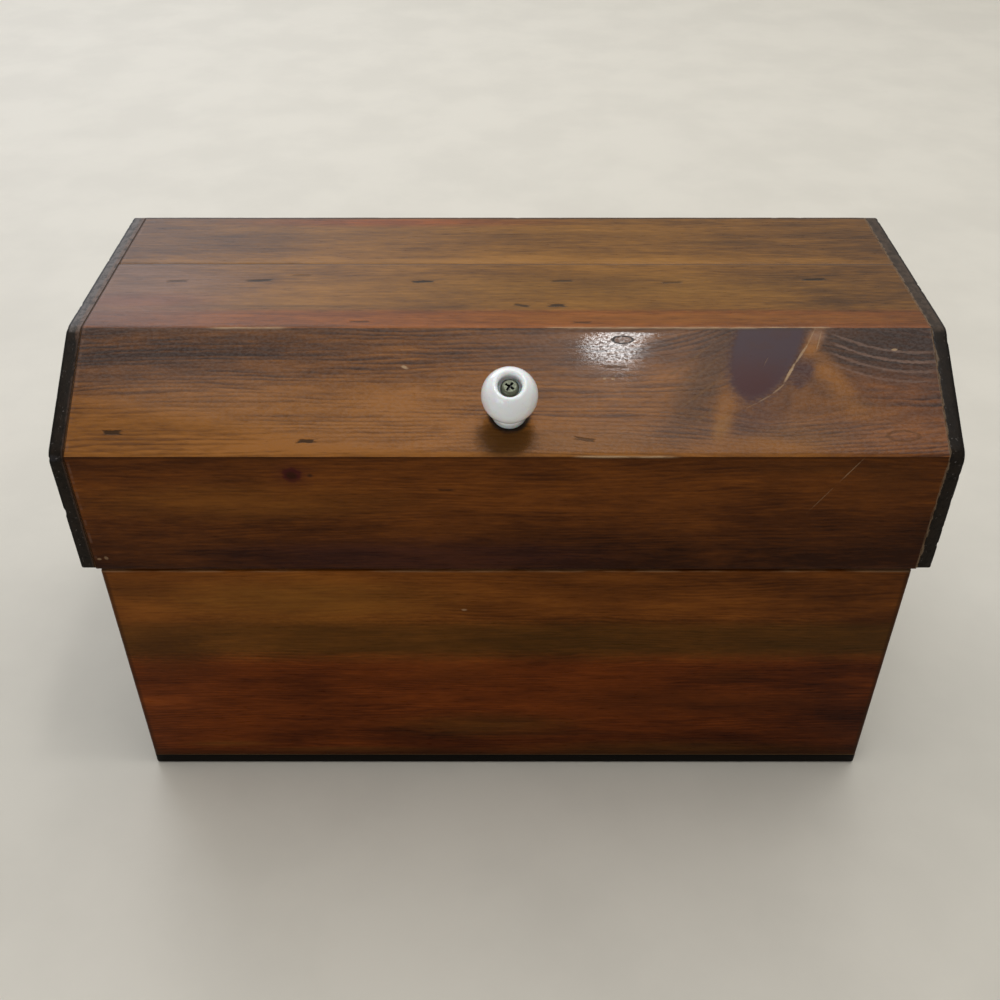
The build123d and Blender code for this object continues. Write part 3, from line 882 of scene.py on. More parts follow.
    # Painted contact shadow: a dark ring round the knob's foot
    wood.tint(wood.oval(along, down, 10.0, 10.0, soft=0.12, ragged=0.2) * wood.outside, c.resin, 1.00)
    wood.loop(180.5, 55.5, 7.0, 2.6, c.deep_stain, 0.45)
    wood.resin(-179.5, 53.7, 3.8, 1.1)
    wood.resin(-91.0, 58.0, 3.8, 0.9)
    wood.resin(35.5, 57.2, 4.2, 0.8, turn=-8.0, strength=0.6)
    wood.dull(wood.oval(54.5, 6.3, 4.4, 1.9, ragged=0.3) * wood.outside, 0.70)
    wood.loop(54.5, 6.3, 4.6, 2.0, c.resin, 0.95)
    wood.resin(51.0, 20.5, 4.4, 0.7, strength=0.5)
    wood.nick(-47.5, 20.6, 1.5, 0.7, turn=-20.0)
    wood.nick(181.5, 11.5, 1.3, 0.6)
    wood.nick(45.5, 26.5, 0.8, 0.6, strength=0.6)
    wood.nick(49.5, 26.5, 0.8, 0.6, strength=0.6)
    # Painted shade along the fold below the top
    wood.tint(wood.v.rise(2.2, 0.8) * wood.streak.rise(0.30, 0.55), c.shadow_stain, 0.50)
    fold_wear_and_highlight(wood, 0.0, [(-139.0, -105.0), (28.0, 118.0)], 0.45)
    fold_wear_and_highlight(wood, wood.board.width, [(32.0, 76.0)], 0.8)
    # Pits in the varnish where the lamp shines
    pits = wood.noise(wood.u * 0.62, wood.v * 0.95, wood.w, detail=2.0).rise(0.48, 0.60)
    wood.shine = wood.shine * (1.25 - wood.oval(54.0, 8.0, 30.0, 22.0, soft=0.5) * pits * 0.90)
    return {"coat": 0.22, "level": 0.11, "coat_roughness": 0.075}


def finish_top_front(wood):
    """Golden, with short resin pockets and a red strip along the fold."""
    c = wood.colours
    width = wood.board.width
    wood.grow(pith_down=90.0, pith_deep=60.0, ring=2.4, drift=0.004, wander=0.8)
    level = 0.65 - wood.ends(130.0) * 0.26 + wood.v.rise(width - 17.0, width - 11.0) * 0.07
    wood.stain(level, rings=0.06, streaks=0.64, clouds=0.60, fibres=0.64)
    wood.redden(wood.across(width - 17.0, width + 20.0, 2.5) * 0.62)
    wood.smear(-186.0, 28.0, 46.0, 30.0, c.wax_and_sheen, 0.60)
    wood.redden(wood.oval(-178.0, 40.0, 30.0, 7.0, soft=0.8) * 0.4)
    wood.smear(100.0, width - 9.0, 95.0, 5.0, c.golden_stain, 0.35)
    wood.smear(60.0, 26.0, 110.0, 12.0, c.olive_tint, 0.22)
    for along, down, half, strength in (
        (-166.0, 19.2, 4.6, 0.60),
        (-124.5, 18.6, 5.6, 0.85),
        (-41.8, 19.8, 5.0, 0.95),
        (28.0, 19.0, 5.2, 0.65),
        (84.0, 20.6, 4.6, 0.55),
        (156.0, 17.4, 5.6, 0.90),
    ):
        wood.resin(along, down, half, 1.1, turn=4.0, strength=strength)
    wood.resin(7.5, 44.6, 3.4, 1.1, turn=-20.0, strength=0.75)
    wood.resin(25.0, 44.6, 4.0, 1.3, strength=0.85)
    wood.resin(-69.7, 60.6, 4.2, 0.8, strength=0.60)
    wood.resin(36.0, 61.4, 4.6, 0.9, strength=0.60)
    wood.resin(-104.0, 13.0, 5.0, 0.6, strength=0.35)
    wood.smear(-105.0, 45.5, 26.0, 0.9, c.shadow_stain, 0.50)
    wood.smear(-118.0, 53.0, 14.0, 0.8, c.shadow_stain, 0.40)
    wood.smear(-95.0, width - 1.8, 22.0, 1.4, c.shadow_stain, 0.60)
    wood.smear(157.0, 30.0, 11.0, 2.6, c.shadow_stain, 0.50)
    wood.smear(160.0, 40.0, 10.0, 4.6, c.shadow_stain, 0.62)
    wood.tint(wood.v.rise(1.6, 0.5) * wood.streak.rise(0.30, 0.50), c.shadow_stain, 0.55)
    fold_wear_and_highlight(wood, width, [(-139.0, -105.0), (20.0, 152.0)], 0.70, 1.5)
    return {"coat": 0.11, "level": 0.08}


def finish_top_back(wood):
    """Golden, with a pale line along the seam and a dark one along the back."""
    c = wood.colours
    wood.grow(pith_down=-30.0, pith_deep=46.0, ring=2.3, drift=-0.006, wander=0.9)
    level = 0.63 - wood.ends(130.0) * 0.26 + wood.v.rise(40.0, 54.0) * 0.08
    wood.stain(level, rings=0.06, streaks=0.64, clouds=0.65, fibres=0.60)
    wood.redden(wood.oval(-60.0, 6.0, 70.0, 5.0, soft=0.8) * 0.8)
    wood.smear(-20.0, 53.4, 165.0, 2.6, c.pale_stain, 0.60)
    wood.smear(118.0, 32.0, 22.0, 3.0, c.shadow_stain, 0.50)
    wood.smear(178.0, 19.0, 16.0, 6.0, c.shadow_stain, 0.35)
    wood.smear(-140.0, 27.0, 45.0, 11.0, c.shadow_stain, 0.25)
    wood.smear(60.0, 22.0, 40.0, 5.0, c.deep_stain, 0.35)
    wood.tint(wood.v.rise(2.4, 1.4), c.shadow_stain, 0.85)
    wood.shine = wood.shine * wood.v.rise(1.4, 2.4)
    return {"coat": 0.11, "level": 0.08}


def finish_back_slope(wood):
    """Brown, with one knot."""
    wood.grow(pith_down=20.0, pith_deep=52.0, ring=2.2, drift=0.010, wander=1.2)
    wood.stain(0.50 - wood.ends() * 0.14, rings=0.30, streaks=0.74, fibres=0.62)
    wood.smear(-70.0, 30.0, 6.5, 5.0, wood.colours.plum_tint, 0.9, soft=0.25)
    wood.smear(40.0, 50.0, 90.0, 9.0, wood.colours.golden_stain, 0.35)
    wood.resin(130.0, 22.0, 4.4, 1.0)
    fold_wear_and_highlight(wood, 0.0, [(-60.0, 40.0)], 0.6)
    return {"coat": 0.25, "level": 0.18}


def finish_lid_back(wood):
    """Brown, with a plum streak."""
    wood.grow(pith_down=80.0, pith_deep=34.0, ring=2.4, drift=-0.008, wander=1.1)
    wood.stain(0.46 - wood.ends() * 0.14, rings=0.26)
    wood.redden(0.35)
    wood.smear(60.0, 52.0, 120.0, 10.0, wood.colours.plum_tint, 0.35)
    wood.resin(-150.0, 18.0, 4.0, 0.9)
    wood.resin(24.0, 30.0, 4.4, 1.0)
    fold_wear_and_highlight(wood, 0.0, [(70.0, 120.0)], 0.6)
    return {"coat": 0.12, "level": 0.12}


LID_FINISHES = {
    "lid_front_board": (finish_lid_front, 11.3),
    "lid_front_slope_board": (finish_slope, 23.1),
    "lid_top_front_board": (finish_top_front, 37.9),
    "lid_top_back_board": (finish_top_back, 41.7),
    "lid_back_slope_board": (finish_back_slope, 55.3),
    "lid_back_board": (finish_lid_back, 67.9),
}


class CHEST_OT_lid_boards(bpy.types.Operator):
    """Builds the lid's six boards, with rubbed folds and stained grain"""

    bl_idname = "chest.lid_boards"
    bl_label = "Lid boards"

    def execute(self, context):
        settings = context.scene.chest_wood
        for node, side in LID_BOARDS.items():
            corners = board_corners(node, side)
            dress, seed = LID_FINISHES[node]
            piece = piece_from(lid_board_mesh(node, corners, seed, settings), f"{node}_worn")
            finish = lid_wood(node, corners, side, seed, settings)
            gloss = dress(finish)
            joint_lines(finish)
            finish.line_inside()
            stand_for(piece, node, LID, finish.seal(**gloss))
        return {"FINISHED"}


def outer_rim_points():
    """The corners of the lid's outer line in the plane x = 0, from the front's foot to the back's."""
    points = []
    for node, side in LID_BOARDS.items():
        first, second = board_corners(node, side)[:2]
        if not points:
            points.append(first)
        if node != "lid_top_front_board":
            points.append(second)
    return points


def round_corner(bm, vert, radius):
    """Rounds one corner of a flat outline."""
    first, second = [edge.other_vert(vert).co - vert.co for edge in vert.link_edges]
    turn = math.pi - first.angle(second)
    ease(bm, [vert], radius * math.tan(turn / 2), 8, "VERTICES", clamp=False)


def vert_at(bm, point):
    """The corner that lies at a point."""
    return min(bm.verts, key=lambda vert: (vert.co - point).length)


def brad_places(node, side):
    """The middles of a node's brads on one side of the origin, moved into the plane through the origin."""
    bm = bmesh.new()
    bm.from_mesh(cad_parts[node].data)
    bmesh.ops.remove_doubles(bm, verts=bm.verts, dist=SAME)
    places = []
    taken = set()
    for start in bm.verts:
        if start in taken:
            continue
        taken.add(start)
        island = [start]
        for vert in island:
            for edge in vert.link_edges:
                other = edge.other_vert(vert)
                if other not in taken:
                    taken.add(other)
                    island.append(other)
        low = Vector([min(vert.co[i] for vert in island) for i in range(3)])
        high = Vector([max(vert.co[i] for vert in island) for i in range(3)])
        middle = (low + high) / 2
        reach = middle.dot(side)
        if reach > 0:
            places.append(middle - side * reach)
    bm.free()
    return places


def sink(piece, places, surface, inward, settings):
    """Cuts the brads' holes into a board's face, from a point of that face and the way into the wood."""
    bm = bmesh.new()
    turn = Z.rotation_difference(inward).to_matrix().to_4x4()
    for place in places:
        middle = place + inward * (surface - place).dot(inward)
        bmesh.ops.create_cone(
            bm,
            cap_ends=True,
            segments=20,
            radius1=settings.brad_hole_radius,
            radius2=settings.brad_hole_radius,
            depth=2 * settings.brad_hole_depth,
            matrix=Matrix.Translation(middle) @ turn,
        )
    cutter = piece_from(bm, "brad_cutter")
    cut = piece.modifiers.new("brad_holes", "BOOLEAN")
    cut.operation = "DIFFERENCE"
    cut.solver = "EXACT"
    cut.object = cutter
    depsgraph = bpy.context.evaluated_depsgraph_get()
    mesh = bpy.data.meshes.new_from_object(piece.evaluated_get(depsgraph))
    piece.modifiers.remove(cut)
    bm = bmesh.new()
    bm.from_mesh(mesh)
    shade_smooth(bm)
    bm.to_mesh(mesh)
    bm.free()
    piece.data = mesh
    bpy.data.objects.remove(cutter)


def ebony_wood(node, board, seed, settings):
    """Near-black stain on the outside of a board, with its grain just showing."""
    finish = Wood(f"{node}_finish", board, seed, settings)
    finish.grow(pith_down=40.0, pith_deep=60.0, ring=3.4, drift=0.006)
    tone = 0.28 + (finish.streak - 0.5) * 0.9 + (finish.fibre - 0.5) * 0.7 + (finish.cloud - 0.5) * 0.5
    finish.shade = finish.mix(tone, settings.ebony, settings.ebony_worn)
    finish.gloss = 0.30 + (finish.fibre - 0.5) * 0.18
    finish.height = finish.late * 0.02 + finish.fibre * 0.045 + finish.streak * 0.03
    finish.tint(finish.w.rise(0.30, 0.12) * tone.rise(0.10, 0.62), settings.ebony_grain, 0.75)
    return finish


def cut_up_alike(bm, edges, pitch):
    """Cuts up edges, each group whose lengths agree to a millimetre at once."""
    for size in sorted({round(edge.calc_length(), 3) for edge in edges}):
        alike = [edge for edge in edges if edge.is_valid and round(edge.calc_length(), 3) == size]
        cut_up(bm, alike, size, pitch)


def lid_end_mesh(outside, inside, outward, seed, settings):
    """An end board, with round corners at the folds and a chipped outer arris."""
    corners = [Vector((inside, point.y, point.z)) for point in outer_rim_points()]
    bm = bmesh.new()
    bm.faces.new([bm.verts.new(point) for point in corners])
    for index, corner in enumerate(corners):
        at_foot = index in (0, len(corners) - 1)
        round_corner(bm, vert_at(bm, corner), settings.foot_round if at_foot else settings.end_round)
    push(bm, X * (outside - inside))
    ease(bm, edges_where(bm, lambda place: abs(place.x - outside) < SAME), settings.end_ease)
    ease(bm, edges_where(bm, lambda place: abs(place.x - inside) < SAME), settings.joint_ease, 2)
    flat = [edge for edge in bm.edges if abs(edge.verts[0].co.x - edge.verts[1].co.x) < SAME]
    cut_up_alike(bm, [edge for edge in flat if edge.calc_length() > 20 * MM], settings.wear_pitch)
    upright = [face for face in bm.faces if abs(face.normal.x) > 0.99]
    upright.sort(key=lambda face: face.calc_area())
    bmesh.ops.inset_individual(bm, faces=upright[-2:], thickness=0.6 * MM)
    chip_arris(bm, corners, outside, outward, seed)
    return bm


class CHEST_OT_lid_ends(bpy.types.Operator):
    """Builds the lid's black end boards, with round corners and chipped arrises"""

    bl_idname = "chest.lid_ends"
    bl_label = "Lid ends"

    def execute(self, context):
        settings = context.scene.chest_wood
        for node, outward, seed in (("lid_left_end", -X, 71.3), ("lid_right_end", X, 83.9)):
            outside, inside = outer_and_inner(node, outward)
            piece = piece_from(lid_end_mesh(outside, inside, outward, seed, settings), f"{node}_worn")
            sink(piece, brad_places("lid_end_brads", outward), X * outside, -outward, settings)
            finish = ebony_wood(node, upright_board(node, outward), seed, settings)
            dress_lid_end(finish, outward)
            stand_for(piece, node, LID, finish.seal(coat=0.04, level=0.06))
        return {"FINISHED"}


# How far an end board's chips reach over its rim and over its outer face
CHIP_DEPTH = 1.7 * MM
CHIP_REACH = 1.3 * MM


def chip_arris(bm, corners, outside, outward, seed):
    """Chips the outer arris of an end board toward the middle of its rim."""
    centre = sum(corners, Vector()) / len(corners)
    for vert in bm.verts:
        deep = abs(vert.co.x - outside)
        if deep > CHIP_DEPTH or min_gap(vert.co, corners) > CHIP_REACH:
            continue
        place = vert.co / MM
        chip = max(0.0, noise.noise(Vector((seed, place.y * 0.31, place.z * 0.31))) - 0.30)
        rubbed = 0.5 + 0.5 * noise.noise(Vector((seed + 9.0, place.y * 0.09, place.z * 0.09)))
        lost = (0.10 * rubbed + 1.6 * chip) * MM * (1.0 - deep / CHIP_DEPTH)
        inward = Vector((0, centre.y - vert.co.y, centre.z - vert.co.z)).normalized()
        vert.co += (inward * 0.8 - outward * 0.6) * lost


def min_gap(point, corners):
    """The distance of a point from a closed outline, both seen along X."""
    flat = Vector((0, point.y, point.z))
    gaps = []
    for start, end in zip(corners, corners[1:] + corners[:1]):
        first, second = Vector((0, start.y, start.z)), Vector((0, end.y, end.z))
        run = second - first
        share = min(1.0, max(0.0, (flat - first).dot(run) / run.length_squared))
        gaps.append((flat - first - run * share).length)
    return min(gaps)


def dress_lid_end(finish, outward):
    """Worn edges, scuffs and old glue on an end board, with a dusty grey painted sheen on the left one's
    upper flat.
    """
    c = finish.colours
    left = outward.x < 0
    mottle = finish.noise(finish.u * 0.20, finish.v * 0.20, finish.w * 0.30, detail=4.0, roughness=0.72)
    fine = finish.noise(finish.u * 0.55, finish.v * 0.55, finish.w * 0.8, detail=3.0, roughness=0.65)
    finish.tint(mottle.rise(0.40, 0.64), c.ebony_worn, 0.45)
    rim = finish.w.rise(0.05, 0.4) * finish.w.rise(7.2, 7.0)
    flat = finish.v.rise(1.6, 0.4) * rim
    # Dusty grey with painted sheen on the left board's upper flat, brown scuffs on the right
    finish.tint(flat * (0.42 + 0.58 * mottle.rise(0.40, 0.58)), c.dust_and_sheen if left else c.scuff, 0.95)
    # A darker strip beside the joint and a paler one beside that on the left, old glue on the right
    if left:
        low = finish.v.rise(1.6, 5.0)
        strip = rim * (finish.w - low * 1.2).rise(4.2, 4.9) * mottle.rise(0.36, 0.52)
        finish.tint(strip * (1.0 - low * 0.55), c.wax_and_sheen, 0.32)
        dark = rim * finish.w.rise(6.35, 6.65)
        finish.tint(dark, c.shadow_stain, 0.90)
        finish.dull(dark)
    else:
        wavy = finish.w + (mottle - 0.5) * 4.0
        finish.tint(rim * wavy.rise(6.4, 6.9), c.glue, 0.40)
    finish.tint(finish.w.rise(1.7, 1.1) * finish.w.rise(0.02, 0.12), c.ebony, 0.85)
    finish.tint(fine.rise(0.64, 0.72) * rim, c.dust_and_sheen, 0.75)
    finish.gloss = finish.gloss + flat * 0.12 + (mottle - 0.5) * 0.3
    finish.height = finish.height + mottle * 0.10 + fine * 0.05
    finish.line_inside(6.95, 0.049)


def wear_wall(bm, outward, ends, seed, settings):
    """Divides a body board, dishes its outer face and rubs its rim between two ends."""
    divide(bm, edges_along(bm, (ends[1] - ends[0]).normalized()), settings.wear_pitch)
    divide(bm, edges_along(bm, Z), settings.row_pitch * 1.4)
    dish(bm, ends[0], -outward, settings.hollow, seed)
    rub(bm, *ends, -(outward + Z).normalized(), RIM_WEAR, seed)


def long_wall_mesh(node, outward, seed, settings):
    """The body's front or back, rabbeted for the sides, with rubbed corners and a rubbed rim."""
    low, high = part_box(node)
    half, inner_half = high.x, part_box("body_right_board")[0].x
    outer, inner = outer_and_inner(node, outward)
    lip, _ = outer_and_inner("body_right_board", outward)
    right = ((half, outer), (half, lip), (inner_half, lip), (inner_half, inner))
    left = [(-x, y) for x, y in reversed(right)]
    outline = [Vector((x, y, low.z)) for x, y in (left[-1], *right, *left[:-1])]
    bm = prism(outline, Z * (high.z - low.z))
    ease(bm, edges_along(bm, Z, outline[:2]), settings.corner_round, 4)
    reach = settings.corner_round + NEAR
    rim = edges_where(bm, lambda place: abs(place.z - high.z) < SAME and abs(place.y - outer) < reach)
    ease(bm, rim, settings.rim_ease)
    ends = [Vector((x, outer, high.z)) for x in (-half, half)]
    wear_wall(bm, outward, ends, seed, settings)
    for side, top in zip((-1, 1), ends):
        foot = Vector((top.x, outer, low.z))
        rub(bm, foot, top, -(outward + X * side).normalized(), CORNER_WEAR, seed + side)
    return bm


def side_wall_mesh(node, outward, seed, settings):
    """One of the body's sides, with a rubbed rim."""
    low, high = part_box(node)
    outside, _ = outer_and_inner(node, outward)
    ends = [Vector((outside, y, high.z)) for y in (low.y, high.y)]
    bm = slab(low, high)
    ease(bm, edges_along(bm, Y, ends[:1]), settings.rim_ease)
    ease(bm, edges_along(bm, Z, ends), settings.joint_ease, 2)
    wear_wall(bm, outward, ends, seed, settings)
    return bm


class CHEST_OT_body_boards(bpy.types.Operator):
    """Builds the body's front, back and sides, with rubbed corners and rims"""

    bl_idname = "chest.body_boards"
    bl_label = "Body boards"

    def execute(self, context):
        settings = context.scene.chest_wood
        for node, outward, dress, seed in (
            ("body_front_board", -Y, finish_body_front, 97.1),
            ("body_back_board", Y, finish_body_back, 103.7),
        ):
            piece = piece_from(long_wall_mesh(node, outward, seed, settings), f"{node}_worn")
            finish = Wood(f"{node}_finish", upright_board(node, outward), seed, settings)
            gloss = dress(finish)
            finish.line_inside()
            stand_for(piece, node, CHEST, finish.seal(**gloss))
        for node, outward, seed in (("body_left_board", -X, 109.3), ("body_right_board", X, 127.9)):
            outside, _ = outer_and_inner(node, outward)
            piece = piece_from(side_wall_mesh(node, outward, seed, settings), f"{node}_worn")
            sink(piece, brad_places("corner_brads", outward), X * outside, -outward, settings)
            finish = ebony_wood(node, upright_board(node, outward), seed, settings)
            finish.tint(finish.v.rise(0.8, 0.3) * finish.w.rise(1.2, 0.7), settings.bare_and_highlight, 0.25)
            finish.line_inside()
            stand_for(piece, node, CHEST, finish.seal(coat=0.14, level=0.14))
        return {"FINISHED"}


def darken_rims(wood, strength):
    """Darker along a body board's foot and, with some strength, its upright corners."""
    foot = wood.board.width
    wood.tint(wood.v.rise(foot - 8.0, foot + 2.0), wood.colours.shadow_stain, 0.80)
    wood.tint(wood.from_end().rise(3.4, 1.6), wood.colours.shadow_stain, strength)


def finish_body_front(wood):
    """Golden above, darker and redder below the middle."""
    c = wood.colours
    wood.grow(pith_down=-70.0, pith_deep=44.0, ring=1.9, drift=0.010, wander=1.3)
    level = 0.52 - wood.across(33.0, 61.0, 5.0) * 0.15 - wood.v.rise(58.0, 70.0) * 0.10
    # Darker toward the right end, partly the wood's tone and partly painted shade of the light from the left
    level = level - wood.v.rise(90.0, 146.0) * 0.22 - wood.u * 0.00045 - wood.u.rise(120.0, 199.0) * 0.06
    level = level - wood.v.rise(24.0, 12.0) * wood.u.rise(-90.0, -20.0) * 0.06
    level = level + wood.across(42.0, 62.0, 4.0) * wood.u.rise(-20.0, 60.0) * 0.06
    level = level - wood.across(64.0, 84.0, 4.0) * 0.05
    wood.stain(level, rings=0.12, streaks=0.42, clouds=0.75, fibres=0.36)
    wood.redden(0.55 + wood.across(62.0, 200.0, 7.0) * 0.40)
    wood.tint(wood.across(36.0, 58.0, 5.0), c.olive_tint, 0.35)
    wood.smear(-105.0, 20.0, 62.0, 13.0, c.golden_stain, 0.45)
    wood.smear(-176.0, 58.0, 22.0, 16.0, c.shadow_stain, 0.60)
    wood.smear(-190.0, 12.0, 22.0, 7.0, c.shadow_stain, 0.45)
    wood.smear(119.0, 75.0, 16.0, 5.0, c.shadow_stain, 0.50)
    wood.smear(-24.0, 74.0, 26.0, 7.0, c.shadow_stain, 0.42)
    wood.smear(100.0, 94.0, 56.0, 9.0, c.shadow_stain, 0.34)
    wood.smear(-10.0, 114.0, 40.0, 8.0, c.golden_stain, 0.22)
    wood.smear(90.0, 136.0, 70.0, 7.0, c.golden_stain, 0.20)
    wood.smear(-155.0, 130.0, 20.0, 2.2, c.brown_stain, 0.40)
    wood.smear(-86.0, 135.0, 38.0, 2.2, c.brown_stain, 0.40)
    wood.smear(20.0, 121.0, 60.0, 1.6, c.shadow_stain, 0.45)
    darken_rims(wood, 0.60)
    wood.tint(wood.v.rise(0.9, 0.3) * wood.streak.rise(0.40, 0.60) * wood.outside, c.bare_and_highlight, 0.22)
    wood.nick(-21.0, 26.0, 1.3, 0.6, strength=0.5)
    return {"coat": 0.04, "level": 0.04}


def finish_body_back(wood):
    """Brown, with one knot."""
    c = wood.colours
    wood.grow(pith_down=60.0, pith_deep=50.0, ring=2.2, drift=-0.008, wander=1.2)
    wood.stain(0.48 - wood.ends() * 0.12, rings=0.24)
    wood.redden(0.35 + wood.across(20.0, 70.0, 10.0) * 0.30)
    wood.smear(70.0, 96.0, 9.0, 6.5, c.plum_tint, 0.85, soft=0.3)
    wood.smear(-120.0, 60.0, 50.0, 12.0, c.deep_stain, 0.50)
    wood.resin(-60.0, 34.0, 4.6, 1.0)
    wood.resin(140.0, 110.0, 4.2, 1.0)
    darken_rims(wood, 0.55)
    return {"coat": 0.12, "level": 0.12}


class CHEST_OT_bottom_board(bpy.types.Operator):
    """Builds the body's bottom board, with an eased foot"""

    bl_idname = "chest.bottom_board"
    bl_label = "Bottom board"

    def execute(self, context):
        settings = context.scene.chest_wood
        seed = 131.0
        low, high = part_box("bottom_board")
        bm = slab(low, high)
        ease(bm, edges_along(bm, Z), settings.corner_round, 4)
        ease(bm, edges_where(bm, lambda place: abs(place.z - low.z) < SAME), settings.foot_ease, 4)
        divide(bm, edges_along(bm, X), settings.row_pitch)
        divide(bm, edges_along(bm, Y), settings.row_pitch)
        dish(bm, high.z * Z, -Z, settings.hollow, seed)
        piece = piece_from(bm, "bottom_board_worn")
        sink(piece, brad_places("bottom_brads", Z), low.z * Z, Z, settings)
        board = Board(low.z * Z, X, -Y, Z, high.x / MM, (high.y - low.y) / MM)
        finish = ebony_wood("bottom_board", board, seed, settings)
        finish.tint(finish.w.rise(0.3, 1.2), settings.edge_black, 0.80)
        finish.line_inside(7.2)
        stand_for(piece, "bottom_board", CHEST, finish.seal(coat=0.0, level=0.04))
        return {"FINISHED"}


def glaze_finish(knob, foot, axis):
    """White porcelain, with painted shade in its recess, under its rim and round its foot, and dirt in its
    crackle.
    """
    finish = Finish("porcelain_glaze", 3.0)
    up, out = finish.round_axis(foot, axis)
    place = finish.millimetres()
    mottle = finish.mottle(place, 0.35, 3.0)
    wall, floor = knob.recess_radius / MM, knob.recess_floor / MM
    # Painted shade in the recess under the rim, at the foot and in the neck's groove
    in_recess = out.rise(wall + 0.6, wall - 0.8) * up.rise(floor + 4.7, floor + 2.5)
    at_foot = up.rise(1.1, 0.2) + (up - knob.neck_height / MM).squared().rise(1.8, 0.2) * 0.60
    grime_and_shade = (in_recess * 0.26 + at_foot * 0.6) * (0.55 + mottle * 0.9)
    shade = finish.mix(grime_and_shade.least(1.0), knob.glaze, knob.grime_and_shade)
    crackle = finish.node(
        "ShaderNodeTexVoronoi", {"feature": "DISTANCE_TO_EDGE"}, {"Vector": place, "Scale": 0.32}
    )
    shade = finish.mix(crackle.rise(0.035, 0.0) * mottle.rise(0.50, 0.62) * 0.16, shade, knob.grime_and_shade)
    finish.set(
        base_color=shade,
        roughness=0.16 + grime_and_shade * 0.3,
        specular_ior_level=0.5,
        subsurface_weight=0.30,
        subsurface_scale=0.004,
        coat_weight=0.60,
        coat_roughness=0.05,
        normal=finish.bump(mottle * 0.03),
    )
    return finish.material


# Steps of the arc of the knob's bulb and of the round of its rim
BULB_STEPS = 36
RIM_STEPS = 12


def swing(bm, vert, middle, angle, steps):
    """Draws an arc from a corner round a middle in the plane y = 0, and returns its far end."""
    arc = bmesh.ops.spin(bm, geom=[vert], cent=middle, axis=(0, -1, 0), angle=angle, steps=steps)
    return next(item for item in arc["geom_last"] if isinstance(item, bmesh.types.BMVert))


class CHEST_OT_knob(bpy.types.Operator):
    """Spins the porcelain knob, with a soft recess for its screw"""

    bl_idname = "chest.knob"
    bl_label = "Knob"

    def execute(self, context):
        knob = context.scene.chest_knob
        foot, axis = knob_foot()
        bulb_foot = knob.bulb_height - math.sqrt(knob.bulb_radius**2 - knob.neck_radius**2)
        start = math.atan2(bulb_foot - knob.bulb_height, knob.neck_radius)
        # The rim's round lies against the bulb and against the recess's wall
        rim_reach = knob.recess_radius + knob.rim_round
        rim_rise = math.sqrt((knob.bulb_radius - knob.rim_round) ** 2 - rim_reach**2)
        rim = math.atan2(rim_rise, rim_reach)
        outside = [
            (knob.bore_radius, 0.0),
            (knob.foot_radius, 0.0),
            (knob.foot_radius, knob.foot_height),
            (knob.neck_radius, knob.neck_height),
            (knob.neck_radius, bulb_foot),
        ]
        inside = [
            (knob.recess_radius, knob.recess_floor),
            (knob.bore_radius, knob.recess_floor),
            (knob.bore_radius, 0.0),
        ]
        bm = bmesh.new()
        outer, inner = ([bm.verts.new((out, 0, up)) for out, up in line] for line in (outside, inside))
        lip = swing(bm, outer[-1], (0, 0, knob.bulb_height), rim - start, BULB_STEPS)
        lip = swing(bm, lip, (rim_reach, 0, knob.bulb_height + rim_rise), math.pi - rim, RIM_STEPS)
        for line in (outer, [lip, *inner]):
            for pair in zip(line, line[1:]):
                bm.edges.new(pair)
        # Each rounded corner's distance from the axis and height, and how far it is cut back
        for out, up, size in (
            (knob.foot_radius, 0.0, 0.4 * MM),
            (knob.foot_radius, knob.foot_height, 0.8 * MM),
            (knob.neck_radius, knob.neck_height, 0.8 * MM),
            (knob.neck_radius, bulb_foot, 0.9 * MM),
            (knob.recess_radius, knob.recess_floor, 1.0 * MM),
        ):
            ease(bm, [vert_at(bm, Vector((out, 0, up)))], size, 6, "VERTICES")
        bmesh.ops.spin(
            bm,
            geom=[*bm.verts, *bm.edges],
            cent=(0, 0, 0),
            axis=(0, 0, 1),
            angle=2 * math.pi,
            steps=knob.steps,
            use_merge=True,
        )
        bmesh.ops.remove_doubles(bm, verts=bm.verts, dist=2 * SAME)
        turn = Z.rotation_difference(axis).to_matrix().to_4x4()
        bmesh.ops.transform(bm, matrix=Matrix.Translation(foot) @ turn, verts=bm.verts)
        piece = piece_from(bm, "knob_glazed", 50.0)
        stand_for(piece, "knob", LID, glaze_finish(knob, foot, axis))
        return {"FINISHED"}


def worn_metal(node, bright, dull, seed, patches, roughness=0.34, grain=0.9):
    """Gives a CAD node metal that is bright where it is rubbed and dull elsewhere."""
    finish = Finish(f"{node}_finish", seed)
    place = finish.millimetres()
    cloud = finish.mottle(place, grain * 0.4, 5.0, 0.65)
    spots = finish.mottle(place, grain * 2.4)
    dulled = cloud.rise(patches - 0.24, patches + 0.24)
    finish.shade = finish.mix(dulled, bright, dull)
    finish.set(
        base_color=finish.shade,
        metallic=1.0 - dulled * 0.25,
        roughness=roughness + dulled * 0.22 + (spots - 0.5) * 0.12,
        normal=finish.bump(spots * 0.02 + cloud * 0.03),
    )
    paint(node, finish.material)
    return finish


